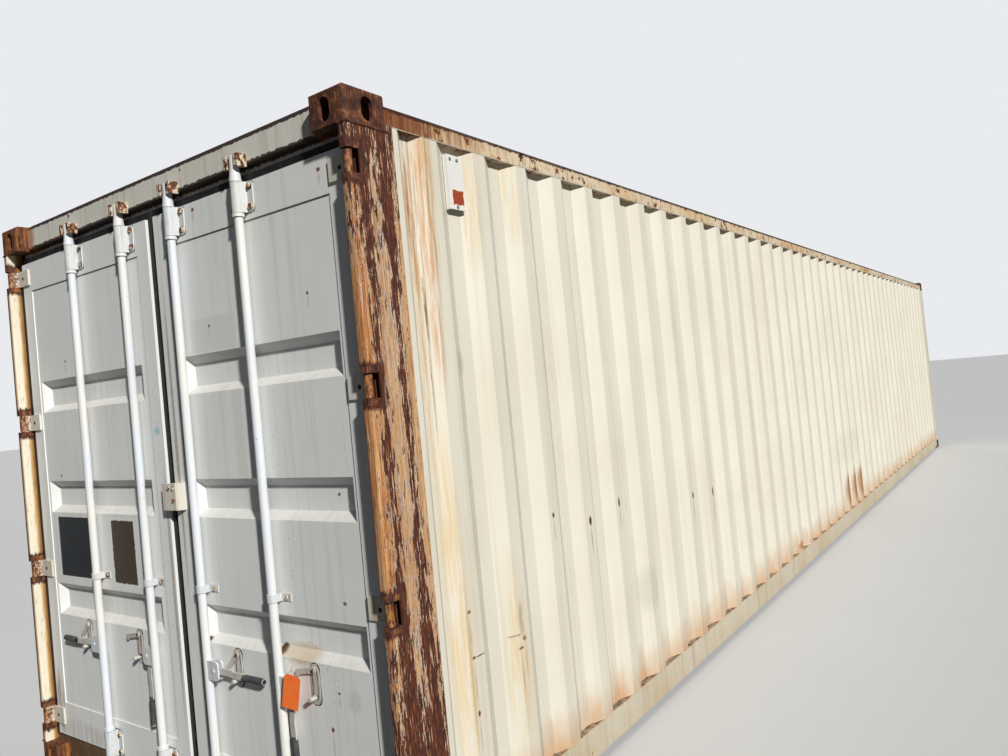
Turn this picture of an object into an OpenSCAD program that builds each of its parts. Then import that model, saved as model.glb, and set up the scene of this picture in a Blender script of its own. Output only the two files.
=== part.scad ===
/* [Overall] */
// Length over the corner castings
length = 12192; // [11072:280:13312]
// Width over the corner castings
width = 2438; // [2400:2:2500]
// Height over the corner castings
height = 2591; // [2560:1:2896]

/* [Corner castings] */
// Length of a casting along the container
casting_x = 178; // [174:1:182]
// Width of a casting
casting_y = 162; // [158:1:166]
// Height of a casting
casting_z = 118; // [114:1:122]
// Length of the top and bottom aperture
twist_len = 124; // [118:1:126]
// Width of the top and bottom aperture
twist_w = 63.5; // [60:0.5:65]
// Aperture centre from the end face
twist_from_end = 103.5; // [101:0.5:105]
// Aperture centre from the side face
twist_from_side = 89.5; // [86:0.5:91]
// Plate thickness at the top and bottom face
casting_plate = 28; // [24:1:30]
// Radius of the upright outer corner of a casting
casting_r = 20; // [10:1:24]
// Radius of its level outer edges
casting_edge_r = 12; // [4:1:14]

/* [Door end posts] */
// Outer corner radius of the post nose
nose_r = 13; // [10:1:16]
// Corner radius of the nose beside the door
flank_r = 9; // [7:1:12]
// Distance of the post flank beside the door from the side plane
flank_v = 41; // [40:1:43]
// Sheet thickness of the pressed post
post_t = 6; // [4.5:0.5:6]
// Depth of the post web from the door end plane
post_depth = 211; // [205:1:230]
// Gap from the door end plane to the post nose
post_setback = 2; // [1:1:4]

/* [Hinges] */
// Hinges on each door
hinge_count = 4; // [2:1:5]
// Height of the lowest hinge
hinge_z0 = 239.5; // [225:0.5:260]
// Clear height of a hinge notch
hinge_notch = 79; // [70:1:90]
// Hinge pin radius
hinge_pin_r = 9; // [7:0.5:9]
// Depth of the hinge axis behind the door end plane
hinge_d = 22; // [21:0.5:23]
// Hinge axis from the side plane
hinge_v = 24; // [23:0.5:25]
// Reach of a hinge blade from its axis
blade_reach = 119; // [80:1:125]

/* [Doors] */
// Depth of the door frame face behind the door end plane
frame_d = 54; // [54:0.5:56]
// Thickness of the door frame
frame_t = 50; // [40:1:50]
// Lower edge of the doors
leaf_z0 = 150; // [148:1:155]
// Upper edge of the doors below the top of the castings
leaf_drop = 172; // [168:1:176]
// Gap between the two doors
leaf_gap = 56; // [56:1:70]
// Gap from the side plane to the door edge
leaf_inset = 72; // [70:1:76]
// Width of the inner frame tube
inner_stile = 82; // [74:1:88]
// Width of the outer frame tube
outer_stile = 83; // [76:1:90]
// Height of the top frame member
top_member = 136; // [120:1:150]
// Height of the bottom frame member
bottom_member = 155; // [130:1:165]
// Depth of the header face behind the door end plane
header_d = 50; // [50:1:56]
// Depth of the door header from the end plane to its back
header_depth = 160; // [150:1:170]
// Depth of the door sill from the end plane to its back
sill_depth = 200; // [190:1:210]
// Depth of the pressed recesses in the door panel
pan_depth = 32; // [20:1:36]
// Height of a pressed recess
pan_h = 152; // [120:1:170]

/* [Lock bars] */
// Radius of a lock bar
bar_r = 16; // [14:0.5:16]
// Depth of the bar axes behind the door end plane
bar_d = 30; // [30:0.5:31]
// Inner bars from the centre line
bar_inner = 185; // [182:1:195]
// Outer bars from the centre line
bar_outer = 615; // [560:1:640]
// Height of the handle pivots
handle_z = 640; // [620:1:650]
// Foot of the guide straps
guide_z = 930; // [880:5:980]
// Length of a catch plate
catch_len = 140; // [130:2:150]
// Length of a handle from pivot to tip
handle_len = 290; // [270:5:320]
// Lower end of the centre catch
centre_catch_z = 1244; // [1200:1:1280]
// Height of the centre catch
centre_catch_h = 106; // [95:1:115]

/* [Side walls] */
// First whole outer flat from the door end plane
first_flat = 368; // [364:1:376]
// Pitch of the side corrugations
side_pitch = 280; // [280:280:280]
// Depth of the side corrugations
side_depth = 36; // [24:1:36]
// Width of an outer flat
side_flat = 72; // [60:1:80]
// Width of a slope
side_slope = 68; // [50:1:68]
// Thickness of the wall sheets
sheet_t = 2; // [1.6:0.1:2.5]
// Height of a vent
vent_h = 200; // [180:5:220]
// Foot of a vent below the top of the castings
vent_drop = 328; // [320:1:340]

/* [Roof and front] */
// Pitch of the roof corrugations
roof_pitch = 209; // [200:1:220]
// Height of the roof corrugations
roof_depth = 20; // [14:1:20]
// Pitch of the front wall corrugations
front_pitch = 250; // [240:1:255]
// Depth of the front wall corrugations
front_depth = 45.6; // [36:0.2:46]
// Length of the plates beside the top castings
corner_plate_len = 290; // [270:5:310]
// Width of the plates beside the top castings
corner_plate_w = 239; // [220:1:250]
// Width of a front post along the side
front_post_w = 175; // [171:1:175]
// Width of a front post along the end
front_post_face = 105; // [100:1:110]

/* [Base] */
// Height of the floor surface
floor_z = 176; // [174:1:180]
// Thickness of the plywood floor
floor_t = 28; // [26:1:30]
// First cross member from the door end plane
first_cross = 400; // [380:5:420]
// Spacing of the cross members
cross_pitch = 300; // [280:5:400]
// Length of the gooseneck tunnel
tunnel_len = 3150; // [3000:10:3300]
// Clear width of the gooseneck tunnel
tunnel_w = 1029; // [1000:1:1040]

/* [Hidden] */
$fn = 48;
x0 = -length / 2;
y0 = -width / 2;
leaf_z1 = height - leaf_drop;
leaf_in = leaf_gap / 2;
leaf_out = width / 2 - leaf_inset;
panel_d = frame_d + 4;
wall_z0 = floor_z - floor_t;
wall_z1 = height - 96;
wall_y = width / 2 - 6;
hinge_step = (height - 2 * hinge_z0) / (hinge_count - 1);
cam_z0 = 62;
cam_drop = 79;
cam_h = 42;
cam_z1 = height - cam_drop - cam_h;
hinge_notch_full = hinge_notch + 40;
sill_d = frame_d + 4;
inner = width / 2 - casting_y;
bearing_h = 110;
catch_off = 160;
pivot_off = 50;
grip_len = 118;
paint = [0.94, 0.93, 0.87];
door_paint = [0.84, 0.83, 0.80];
gear_paint = [0.90, 0.90, 0.90];
rusty = [0.45, 0.28, 0.20];
rubber = [0.06, 0.06, 0.07];
ply = [0.55, 0.40, 0.25];

module both_sides() {
  children();
  mirror([0, 1, 0])
    children();
}

module both_ends() {
  children();
  mirror([1, 0, 0])
    children();
}

// A slot outline of overall length l along x and width w
module slot_outline(l, w) {
  translate([-(l - w) / 2, 0])
    circle(d = w);
  translate([(l - w) / 2, 0])
    circle(d = w);
  square([l - w, w], center = true);
}

// A box given by its two corners
module box(a, b) {
  translate(a)
    cube(b - a);
}

// What rounding an edge along z at the origin takes away
module edge_cut(r, l) {
  translate([0, 0, -1])
    linear_extrude(l + 2)
      difference() {
        translate([-1, -1])
          square(r + 1);
        translate([r, r])
          circle(r = r);
      }
}

// One casting with its outer corner at the origin
module corner_casting() {
  difference() {
    cube([casting_x, casting_y, casting_z]);
    edge_cut(casting_r, casting_z);
    translate([0, casting_y, 0])
      mirror([0, 1, 0])
        edge_cut(casting_edge_r, casting_z);
    rotate([90, 0, 90])
      edge_cut(casting_edge_r, casting_x);
    translate([0, casting_y, 0])
      rotate([90, 0, 0])
        edge_cut(casting_edge_r, casting_y);
    translate([16, 16, casting_plate])
      cube([casting_x - 30, casting_y - 30, casting_z - casting_plate - 15]);
    translate([twist_from_end, twist_from_side, -1])
      linear_extrude(casting_plate + 2)
        slot_outline(twist_len, twist_w);
    translate([-1, 89, 63.5])
      rotate([90, 0, 90])
        linear_extrude(18)
          rotate(90)
            slot_outline(79.5, 51);
    translate([101.5, 17, 63.5])
      rotate([90, 0, 0])
        linear_extrude(18)
          rotate(90)
            slot_outline(79.5, 51);
  }
}

module corner_castings_bottom() {
  color(paint)
    both_ends()
      both_sides()
        translate([x0, y0, 0])
          corner_casting();
}

module corner_castings_top() {
  color(paint)
    both_ends()
      both_sides()
        translate([x0, y0, height])
          mirror([0, 0, 1])
            corner_casting();
}

// Nose of the door end post, u behind the end plane and v from the side plane
nose_u = 30;
notch_u = 52;
notch_flank_u = 60;
channel_u = 85;
module nose_outline(inset) {
  side = 2 + inset;
  face = post_setback + inset;
  flank = flank_v - inset;
  translate([post_setback + nose_r, 2 + nose_r])
    circle(r = nose_r - inset);
  translate([post_setback + flank_r, flank_v - flank_r])
    circle(r = flank_r - inset);
  polygon([[face, 2 + nose_r], [post_setback + nose_r, side], [nose_u, side], [nose_u, flank],
    [post_setback + flank_r, flank], [face, flank_v - flank_r]]);
}

module rear_post_section() {
  difference() {
    nose_outline(0);
    nose_outline(post_t);
  }
  translate([nose_u, 2])
    square([post_depth - nose_u, post_t]);
  translate([nose_u, flank_v - post_t])
    square([42, post_t]);
  difference() {
    translate([channel_u, 2 + post_t])
      square([113, 40]);
    translate([channel_u + 12, 0])
      square([89, 36]);
  }
}

module rear_posts() {
  color(paint)
    both_sides()
      translate([x0, y0, 0])
        difference() {
          translate([0, 0, casting_z])
            linear_extrude(wall_z1 - casting_z)
              rear_post_section();
          box([-1, -1, height - casting_z], [casting_x, 60, height]);
          for (i = [0 : hinge_count - 1])
            translate([0, 0, hinge_z0 + i * hinge_step]) {
              box([-1, -1, -hinge_notch_full / 2], [notch_u, 46, hinge_notch_full / 2]);
              box([-1, 29, -hinge_notch_full / 2], [notch_flank_u, 46, hinge_notch_full / 2]);
            }
        }
}

// Solid lugs closing the ends of each notch, joined by the pin
module hinge_pins() {
  color(rusty)
    both_sides()
      translate([x0, y0, 0])
        for (i = [0 : hinge_count - 1])
          translate([0, 0, hinge_z0 + i * hinge_step]) {
            for (z = [-hinge_notch_full / 2, hinge_notch / 2])
              translate([0, 0, z])
                linear_extrude(20) {
                  nose_outline(0);
                  translate([nose_u, 2])
                    square([notch_u - nose_u, flank_v - 2]);
                  translate([notch_u, flank_v - post_t])
                    square([notch_flank_u - notch_u, post_t]);
                }
            translate([hinge_d, hinge_v, -hinge_notch_full / 2])
              cylinder(r = hinge_pin_r, h = hinge_notch_full);
          }
}

module front_posts() {
  color(paint)
    both_sides()
      translate([-x0, y0, casting_z])
        mirror([1, 0, 0])
          linear_extrude(height - 2 * casting_z) {
            translate([3, 3])
              square([front_post_w, 6]);
            translate([3, 3])
              square([6, front_post_face]);
            translate([3, front_post_face - 3])
              square([60, 6]);
            translate([front_post_w - 3, 3])
              square([6, 49]);
          }
}

// Hollow header with the lintel set back under its front face
module door_header() {
  back = header_depth;
  color(paint)
    translate([x0, 0, 0]) {
      rotate([90, 0, 0])
        translate([0, 0, -inner])
          linear_extrude(2 * inner)
            difference() {
              polygon([[header_d, height - 111], [header_d, height - 6], [back, height - 6],
                [back, leaf_z1 + 13], [84, leaf_z1 + 13], [84, height - 111]]);
              polygon([[header_d + 4, height - 107], [header_d + 4, height - 10],
                [back - 4, height - 10], [back - 4, leaf_z1 + 17], [88, leaf_z1 + 17],
                [88, height - 107]]);
            }
      both_sides()
        box([84, inner, leaf_z1 + 13], [back, width / 2 - 48, height - casting_z]);
    }
}

module door_sill() {
  color(paint)
    translate([x0, 0, 0]) {
      difference() {
        box([sill_d, -inner, 20], [sill_depth, inner, leaf_z0 - 13]);
        box([sill_d + 5, -inner - 1, 25], [sill_depth - 5, inner + 1, leaf_z0 - 18]);
      }
      both_sides()
        box([sill_d, inner, casting_z], [sill_depth, width / 2 - 48, leaf_z0 - 13]);
    }
}

bars = [bar_outer, bar_inner, -bar_inner, -bar_outer];

// One lug of a keeper from its lip to the face at depth d, a lip holding the cam nose
module keeper_lug(d, h) {
  linear_extrude(h) {
    translate([-11, 38])
      circle(r = 7);
    translate([-11, 26])
      square([d + 11, 19]);
    translate([-18, 26])
      square([8, 12]);
    translate([-18, 20])
      square([7, 7]);
  }
}

// A keeper around a cam, its bar axis at the origin and its face at depth d
module keeper(d) {
  h = cam_h + 4;
  keeper_lug(d, h);
  mirror([0, 1, 0])
    keeper_lug(d, h);
}

module cam_keepers() {
  color(rusty)
    for (b = bars) {
      translate([x0 + bar_d, b, cam_z0 - 2])
        keeper(sill_d - bar_d);
      translate([x0 + bar_d, b, cam_z1 - 2])
        keeper(header_d - bar_d);
    }
}

module front_top_rail() {
  color(paint)
    difference() {
      box([-x0 - 75, -inner, height - casting_z], [-x0 - 5, inner, height - 8]);
      box([-x0 - 71, -inner - 1, height - casting_z + 4], [-x0 - 9, inner + 1, height - 12]);
    }
}

module front_bottom_rail() {
  color(paint) {
    difference() {
      box([-x0 - 75, -inner, 28], [-x0 - 5, inner, wall_z0]);
      box([-x0 - 71, -inner - 1, 32], [-x0 - 9, inner + 1, wall_z0 - 4]);
      box([-x0 - 80, -tunnel_w / 2 - 6, 0], [-x0, tunnel_w / 2 + 6, wall_z0 - 24]);
    }
    both_sides()
      box([-x0 - 75, inner, casting_z], [-x0 - 5, front_half, wall_z0]);
  }
}

// Trapezoid corrugation as a path of [along, depth] points
function wave(n, start, pitch, flat, slope, depth) =
  [for (k = [0 : n - 1])
    for (p = [[0, depth], [slope, 0], [slope + flat, 0], [2 * slope + flat, depth]])
      [start + k * pitch + p[0], p[1]]];

// A sheet of thickness t following a path of points
function sheet(path, t) =
  concat(path, [for (i = [len(path) - 1 : -1 : 0]) path[i] + [0, t]]);

front_n = 9;
front_half = width / 2 - front_post_face - 3;
front_flat = front_pitch - 2 * 60;
module front_wall() {
  start = -(front_n * front_pitch - front_flat / 2) / 2;
  raw = wave(front_n, start, front_pitch, front_flat / 2, 60, front_depth);
  path = concat([[-front_half, front_depth]],
    [for (p = raw) if (abs(p[0]) < front_half - 5) p],
    [[front_half, front_depth]]);
  color(paint)
    translate([-x0, 0, wall_z0])
      linear_extrude(height - casting_z - wall_z0)
        mirror([1, 0])
          polygon([for (p = sheet(path, sheet_t)) [p[1] + 10, p[0]]]);
}

// One long wall, the first recess beside the door post being a narrow one
side_n = floor((length - 2 * 340) / side_pitch);
side_x0 = x0 + first_flat;
module side_walls() {
  first = x0 + post_depth;
  flats = [for (k = [0 : side_n]) side_x0 + k * side_pitch];
  path = concat([[first, 0], [first + 29, 0], [first + 69, side_depth - 6],
      [first + 109, side_depth - 6], [first + 149, 0]],
    [for (k = [0 : side_n - 1])
      for (p = [[side_flat, 0], [side_flat + side_slope, side_depth],
          [side_pitch - side_slope, side_depth], [side_pitch, 0]])
        [flats[k] + p[0], p[1]]],
    [[-x0 - front_post_w - 3, 0]]);
  color(paint)
    both_sides()
      translate([0, -wall_y, wall_z0])
        linear_extrude(wall_z1 - wall_z0)
          polygon(sheet(path, sheet_t));
}

module top_side_rails() {
  color(paint)
    both_sides()
      difference() {
        box([x0 + casting_x, y0 + 4, wall_z1], [-x0 - casting_x, y0 + 64, height - 36]);
        box([x0, y0 + 7, wall_z1 + 3], [-x0, y0 + 61, height - 39]);
      }
}

module bottom_side_rails() {
  color(paint)
    both_sides()
      difference() {
        box([x0 + casting_x, y0 + 4, 28], [-x0 - casting_x, y0 + 52, wall_z0]);
        box([x0, y0 + 8.5, 32.5], [-x0, y0 + 60, wall_z0 - 4.5]);
        box([x0, y0 + 34, 20], [-x0, y0 + 60, 60]);
        box([x0, y0, casting_z], [x0 + post_depth, y0 + 60, wall_z0 + 1]);
      }
}

// A pan or crest: rectangle a to b at height 0, shrinking by run over the rise
module frustum(a, b, run, rise) {
  r = [run, run];
  c = a + r;
  d = b - r;
  polyhedron(
    points = [[a[0], a[1], 0], [b[0], a[1], 0], [b[0], b[1], 0], [a[0], b[1], 0],
      [c[0], c[1], rise], [d[0], c[1], rise], [d[0], d[1], rise], [c[0], d[1], rise]],
    faces = [[0, 1, 2, 3], [7, 6, 5, 4], [4, 5, 1, 0], [5, 6, 2, 1], [6, 7, 3, 2],
      [7, 4, 0, 3]]);
}

roof_n = floor((length - 980) / roof_pitch);
roof_x0 = -roof_n * roof_pitch / 2;
roof_end = length / 2 - casting_x - 2;
module roof() {
  edge = width / 2 - 19;
  color(paint)
    translate([0, 0, height - 36])
      difference() {
        union() {
          box([-roof_end, -edge, 0], [roof_end, edge, sheet_t]);
          for (k = [0 : roof_n - 1])
            translate([roof_x0 + k * roof_pitch + 10, 0, sheet_t])
              frustum([0, -edge + 60], [roof_pitch - 60, edge - 60], 40, roof_depth);
        }
        for (k = [0 : roof_n - 1])
          translate([roof_x0 + k * roof_pitch + 10, 0, 0])
            translate([0, 0, -0.01])
              frustum([2, -edge + 62], [roof_pitch - 62, edge - 62], 40, roof_depth);
      }
}

// Plates beside the castings, and strips closing the roof between them
module roof_plates() {
  outer = width / 2 - 20;
  color(paint) {
    both_ends()
      both_sides()
        box([-roof_end, outer - corner_plate_w, height - 34],
          [corner_plate_len - roof_end, outer, height - 30]);
    box([x0 + header_depth, 2 - inner, height - 36], [-roof_end, inner - 2, height - 32]);
    box([roof_end, 2 - inner, height - 36], [-x0 - 75, inner - 2, height - 32]);
  }
}

module floor_boards() {
  color(ply)
    box([x0 + sill_depth, -width / 2 + 54, wall_z0], [-x0 - 75, width / 2 - 54, floor_z]);
}

// C section of the cross members, web along y
module cross_section_bar(y_a, y_b) {
  difference() {
    box([0, y_a, 26], [45, y_b, wall_z0]);
    box([4, y_a - 1, 30], [46, y_b + 1, wall_z0 - 4]);
  }
}

tunnel_x = -x0 - tunnel_len;
module cross_members() {
  reach = width / 2 - 52;
  color(paint) {
    for (x = [x0 + first_cross : cross_pitch : tunnel_x - 60])
      translate([x, 0, 0])
        cross_section_bar(-reach, reach);
    for (x = [tunnel_x + 100 : cross_pitch : -x0 - 130])
      translate([x, 0, 0]) {
        cross_section_bar(tunnel_w / 2 + 6, reach);
        cross_section_bar(-reach, -tunnel_w / 2 - 6);
        difference() {
          box([0, -tunnel_w / 2, wall_z0 - 24], [60, tunnel_w / 2, wall_z0]);
          box([3, -tunnel_w / 2 - 1, wall_z0 - 21], [61, tunnel_w / 2 + 1, wall_z0 - 3]);
        }
      }
  }
}

module gooseneck_tunnel() {
  color(paint)
    difference() {
      box([tunnel_x, -tunnel_w / 2 - 6, 16], [-x0 - 75, tunnel_w / 2 + 6, wall_z0]);
      box([tunnel_x - 1, -tunnel_w / 2, 0], [-x0, tunnel_w / 2, wall_z0 - 28]);
      box([tunnel_x - 1, -tunnel_w / 2, wall_z0 - 24], [-x0, tunnel_w / 2, wall_z0 + 1]);
    }
}

// Outline of a vent, its back seated in a recess of the wall
module vent_outline(inset) {
  half = (side_pitch - side_flat) / 2 - side_slope - 1;
  polygon([[-half + inset, 1 - inset], [-half - 9 + inset, -6], [-half - 9 + inset, -25 + inset],
    [half + 9 - inset, -25 + inset], [half + 9 - inset, -6], [half - inset, 1 - inset]]);
}

// A louvre box open underneath, in the first recess of one wall and the last of the other
module vents() {
  first = side_x0 + (side_pitch + side_flat) / 2;
  color(gear_paint)
    for (s = [1, -1])
      translate([first + (s > 0 ? 0 : (side_n - 1) * side_pitch), 0, height - vent_drop])
        mirror([0, s > 0 ? 0 : 1, 0])
          translate([0, -wall_y + side_depth - 1, 0])
            difference() {
              linear_extrude(vent_h)
                vent_outline(0);
              translate([0, 0, -1])
                linear_extrude(vent_h - 1)
                  vent_outline(2);
            }
}

// Frame of one door between its inner and outer edge
module door_frame() {
  d0 = x0 + frame_d;
  d1 = d0 + frame_t;
  difference() {
    box([d0, leaf_in, leaf_z0], [d1, leaf_out, leaf_z1]);
    box([d0 - 1, leaf_in + inner_stile, leaf_z0 + bottom_member],
      [d1 + 1, leaf_out - outer_stile, leaf_z1 - top_member]);
    for (y = [leaf_in + 3.5, leaf_out - outer_stile + 3.5]) {
      w = y < width / 4 ? inner_stile - 7 : outer_stile - 7;
      box([d0 + 3.5, y, leaf_z0 - 1], [d1 - 3.5, y + w, leaf_z1 + 1]);
    }
    box([d0 + 3.5, leaf_in + inner_stile, leaf_z0 + 3.5],
      [d1 + 1, leaf_out - outer_stile, leaf_z0 + bottom_member - 3.5]);
    box([d0 + 3.5, leaf_in + inner_stile, leaf_z1 - top_member + 3.5],
      [d1 + 1, leaf_out - outer_stile, leaf_z1 - 3.5]);
  }
}

pan_z = [804, 1288, 1765];
module door_panel() {
  a = leaf_in + inner_stile;
  b = leaf_out - outer_stile;
  z_a = leaf_z0 + bottom_member;
  z_b = leaf_z1 - top_member;
  translate([x0 + panel_d, 0, 0])
    rotate([0, 90, 0])
      difference() {
        union() {
          box([-z_b, a, 0], [-z_a, b, sheet_t]);
          for (z = pan_z)
            translate([0, 0, sheet_t])
              frustum([-z - pan_h / 2, a + 37], [-z + pan_h / 2, b - 14], 30, pan_depth);
        }
        for (z = pan_z)
          translate([0, 0, -0.01])
            frustum([-z - pan_h / 2 + 2, a + 39], [-z + pan_h / 2 - 2, b - 16], 30, pan_depth);
      }
}

// Rubber seal round one door, its side lip reaching the post and its top lip the lintel
module door_gasket() {
  d0 = x0 + frame_d;
  difference() {
    union() {
      box([d0 + 12, leaf_in - 20, leaf_z0 - 7], [d0 + 46, leaf_out + 9, leaf_z1 + 7]);
      box([d0, leaf_out - 1, leaf_z0 - 7], [d0 + 13, width / 2 - flank_v - 5, leaf_z1 + 7]);
      box([d0 + 12, leaf_in - 20, leaf_z1 - 1], [d0 + 25, leaf_out + 9, leaf_z1 + 31]);
    }
    box([d0 - 1, leaf_in, leaf_z0], [d0 + 47, leaf_out, leaf_z1]);
  }
}

// Blades from the knuckle to the door frame face, measured from the hinge axis
module hinge_blades() {
  dx = frame_d - hinge_d;
  h = hinge_notch - 4;
  for (i = [0 : hinge_count - 1])
    translate([x0 + hinge_d, y0 + hinge_v, hinge_z0 + i * hinge_step - h / 2])
      difference() {
        linear_extrude(h)
          difference() {
            union() {
              circle(r = 14);
              polygon([[12, 2], [dx - 4, 12], [dx, 22], [dx, blade_reach],
                [dx - 8, blade_reach], [dx - 8, 20], [6, 12]]);
            }
            circle(r = hinge_pin_r + 0.5);
          }
      }
}

// A plate outline w by h round the origin with rounded corners
module plate_outline(w, h, r) {
  square([w - 2 * r, h], center = true);
  square([w, h - 2 * r], center = true);
  for (p = [r - w / 2, w / 2 - r])
    for (q = [r - h / 2, h / 2 - r])
      translate([p, q])
        circle(r = r);
}

// Bearing bracket of a bar: a saddle sloping down to a bolted flange, its foot at z
module bearing(z) {
  depth = frame_d - bar_d;
  translate([0, 0, z])
    difference() {
      union() {
        linear_extrude(bearing_h) {
          circle(r = bar_r + 5);
          polygon([[0, -bar_r - 5], [depth, -bar_r - 19], [depth, bar_r + 19],
            [0, bar_r + 5]]);
        }
        translate([depth - 4, 0, bearing_h / 2])
          rotate([90, 0, 90])
            linear_extrude(4)
              plate_outline(126, bearing_h, 12);
      }
      translate([0, 0, -1])
        linear_extrude(bearing_h + 2) {
          circle(r = bar_r + 1);
          translate([0, -bar_r - 1])
            square([depth + 1, 2 * bar_r + 2]);
        }
    }
}

// Guide strap with its bolt flange toward the negative y side
module guide(z) {
  depth = panel_d - bar_d;
  translate([0, 0, z])
    linear_extrude(28)
      difference() {
        union() {
          circle(r = bar_r + 4);
          translate([0, -bar_r - 4])
            square([depth, 2 * bar_r + 8]);
          translate([depth - 3, -bar_r - 55])
            square([3, 55]);
        }
        circle(r = bar_r + 1);
        translate([0, -bar_r - 1])
          square([depth + 1, 2 * bar_r + 2]);
      }
}

module door_brackets(ys) {
  for (b = ys)
    translate([x0 + bar_d, b, 0]) {
      bearing(leaf_z0 + 2);
      bearing(leaf_z1 - 1 - bearing_h);
      guide(guide_z);
    }
}

// Catch plates with the peg a latched handle rests on
peg_z = handle_z - 17;
hasp_z = handle_z + 65;
module door_catches(ys, side) {
  for (b = ys)
    translate([x0 + panel_d, b + side * catch_off, 0]) {
      translate([-4, 0, handle_z + 16])
        rotate([0, 90, 0])
          linear_extrude(4)
            slot_outline(catch_len, 44);
      translate([-36, 0, peg_z - 10])
        rotate([0, 90, 0])
          cylinder(r = 8, h = 33);
      translate([-13, 0, hasp_z])
        rotate([0, 90, 0])
          cylinder(r = 7, h = 10);
    }
}

// Hasp from its pivot, pointing a degrees below the positive y direction
module hasp(b, side, a) {
  translate([x0 + panel_d - 12, b + side * catch_off, hasp_z])
    rotate([-a, 0, 0])
      rotate([90, 0, 90])
        linear_extrude(5)
          difference() {
            union() {
              circle(r = 13);
              translate([0, -8])
                square([80, 18]);
              translate([82, -2])
                circle(r = 12);
            }
            circle(r = 7.5);
          }
}

// Cam nose and heel seen along the bar
module cam_outline() {
  circle(r = bar_r + 0.5);
  translate([-6, -16])
    square([12, 16]);
  translate([0, -16])
    circle(r = 6);
}

// One lock bar at y = b, side +1 when its handle points to positive y
module lock_bar(b, side) {
  bearing_z1 = leaf_z1 - 1;
  translate([x0 + bar_d, b, 0])
    mirror([0, side > 0 ? 1 : 0, 0]) {
      difference() {
        union() {
          translate([0, 0, cam_z0])
            cylinder(r = bar_r, h = cam_z1 + cam_h - cam_z0);
          for (z = [cam_z0, cam_z1])
            translate([0, 0, z])
              linear_extrude(cam_h)
                cam_outline();
          for (z = [leaf_z0 + bearing_h + 4, bearing_z1 - bearing_h - 14])
            translate([0, 0, z])
              cylinder(r = 22, h = 12);
          translate([0, 0, cam_z0 + cam_h])
            cylinder(r = 19.5, h = leaf_z0 - cam_z0 - cam_h);
          translate([0, 0, bearing_z1 + 2])
            cylinder(r1 = bar_r + 6, r2 = bar_r + 0.5, h = cam_z1 - bearing_z1 - 2);
        }
        translate([0, 0, cam_z0 + cam_h])
          cylinder(r = bar_r - 3.5, h = cam_z1 - cam_z0 - cam_h);
      }
      for (d = [-11, 9])
        translate([d, 0, handle_z])
          rotate([90, 0, 90])
            linear_extrude(6)
              difference() {
                hull() {
                  translate([-62, 20])
                    circle(r = 16);
                  translate([-62, -20])
                    circle(r = 16);
                  translate([-8, 0])
                    square([8, 73], center = true);
                }
                circle(r = bar_r - 1);
              }
      translate([-14, -pivot_off, handle_z])
        rotate([0, 90, 0])
          cylinder(r = 7, h = 32);
    }
}

// Flat handle cranked toward a round grip, pivot at the origin, length along x
module handle_shape() {
  translate([0, 0, -2]) {
    linear_extrude(7)
      difference() {
        union() {
          circle(r = 16);
          polygon([[0, -12], [92, -12], [110, -16], [handle_len - 110, -16],
            [handle_len - 110, 8], [114, 8], [98, 12], [0, 12]]);
        }
        circle(r = 7.5);
      }
    translate([handle_len - grip_len, -4, 3])
      rotate([0, 90, 0])
        cylinder(r = 10.5, h = grip_len);
  }
}

// Handle of the bar at y = b, a degrees below level
module handle(b, side, a) {
  translate([x0 + bar_d, b + side * pivot_off, handle_z])
    rotate([side * -a, 0, 0])
      mirror([0, side > 0 ? 0 : 1, 0])
        rotate([90, 0, 90])
          handle_shape();
}

module left_frame() {
  color(door_paint)
    door_frame();
}

module right_frame() {
  color(door_paint)
    mirror([0, 1, 0])
      door_frame();
}

module left_panel() {
  color(door_paint)
    door_panel();
}

module right_panel() {
  color(door_paint)
    mirror([0, 1, 0])
      door_panel();
}

module left_gasket() {
  color(rubber)
    door_gasket();
}

module right_gasket() {
  color(rubber)
    mirror([0, 1, 0])
      door_gasket();
}

module right_hinge_blades() {
  color(gear_paint)
    hinge_blades();
}

module left_hinge_blades() {
  color(gear_paint)
    mirror([0, 1, 0])
      hinge_blades();
}

module left_brackets() {
  color(gear_paint)
    door_brackets([bar_outer, bar_inner]);
}

module right_brackets() {
  color(gear_paint)
    door_brackets([-bar_inner, -bar_outer]);
}

module left_catches() {
  color(gear_paint)
    door_catches([bar_outer, bar_inner], 1);
}

module right_catches() {
  color(gear_paint)
    door_catches([-bar_inner, -bar_outer], -1);
}

// Bracket of the right door reaching over the gap toward the left one
module centre_catch() {
  color(gear_paint)
    translate([x0, 0, centre_catch_z])
      linear_extrude(centre_catch_h)
        polygon([[frame_d, -95], [frame_d - 8, -95], [24, -73], [24, 19], [30, 19],
          [30, -40], [frame_d, -40]]);
}

module lock_bar_1() {
  color(gear_paint)
    lock_bar(bar_outer, 1);
}

module lock_bar_2() {
  color(gear_paint)
    lock_bar(bar_inner, 1);
}

module lock_bar_3() {
  color(gear_paint)
    lock_bar(-bar_inner, -1);
}

module lock_bar_4() {
  color(gear_paint)
    lock_bar(-bar_outer, -1);
}

module handle_1() {
  color(gear_paint)
    handle(bar_outer, 1, 0);
}

module handle_2() {
  color(gear_paint)
    handle(bar_inner, 1, 88);
}

module handle_3() {
  color(gear_paint)
    handle(-bar_inner, -1, 0);
}

module handle_4() {
  color(gear_paint)
    handle(-bar_outer, -1, 88);
}

module hasp_1() {
  color(gear_paint)
    hasp(bar_outer, 1, 45);
}

module hasp_2() {
  color(gear_paint)
    hasp(bar_inner, 1, 10);
}

module hasp_3() {
  color(gear_paint)
    hasp(-bar_inner, -1, 45);
}

module hasp_4() {
  color(gear_paint)
    hasp(-bar_outer, -1, 10);
}

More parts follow.
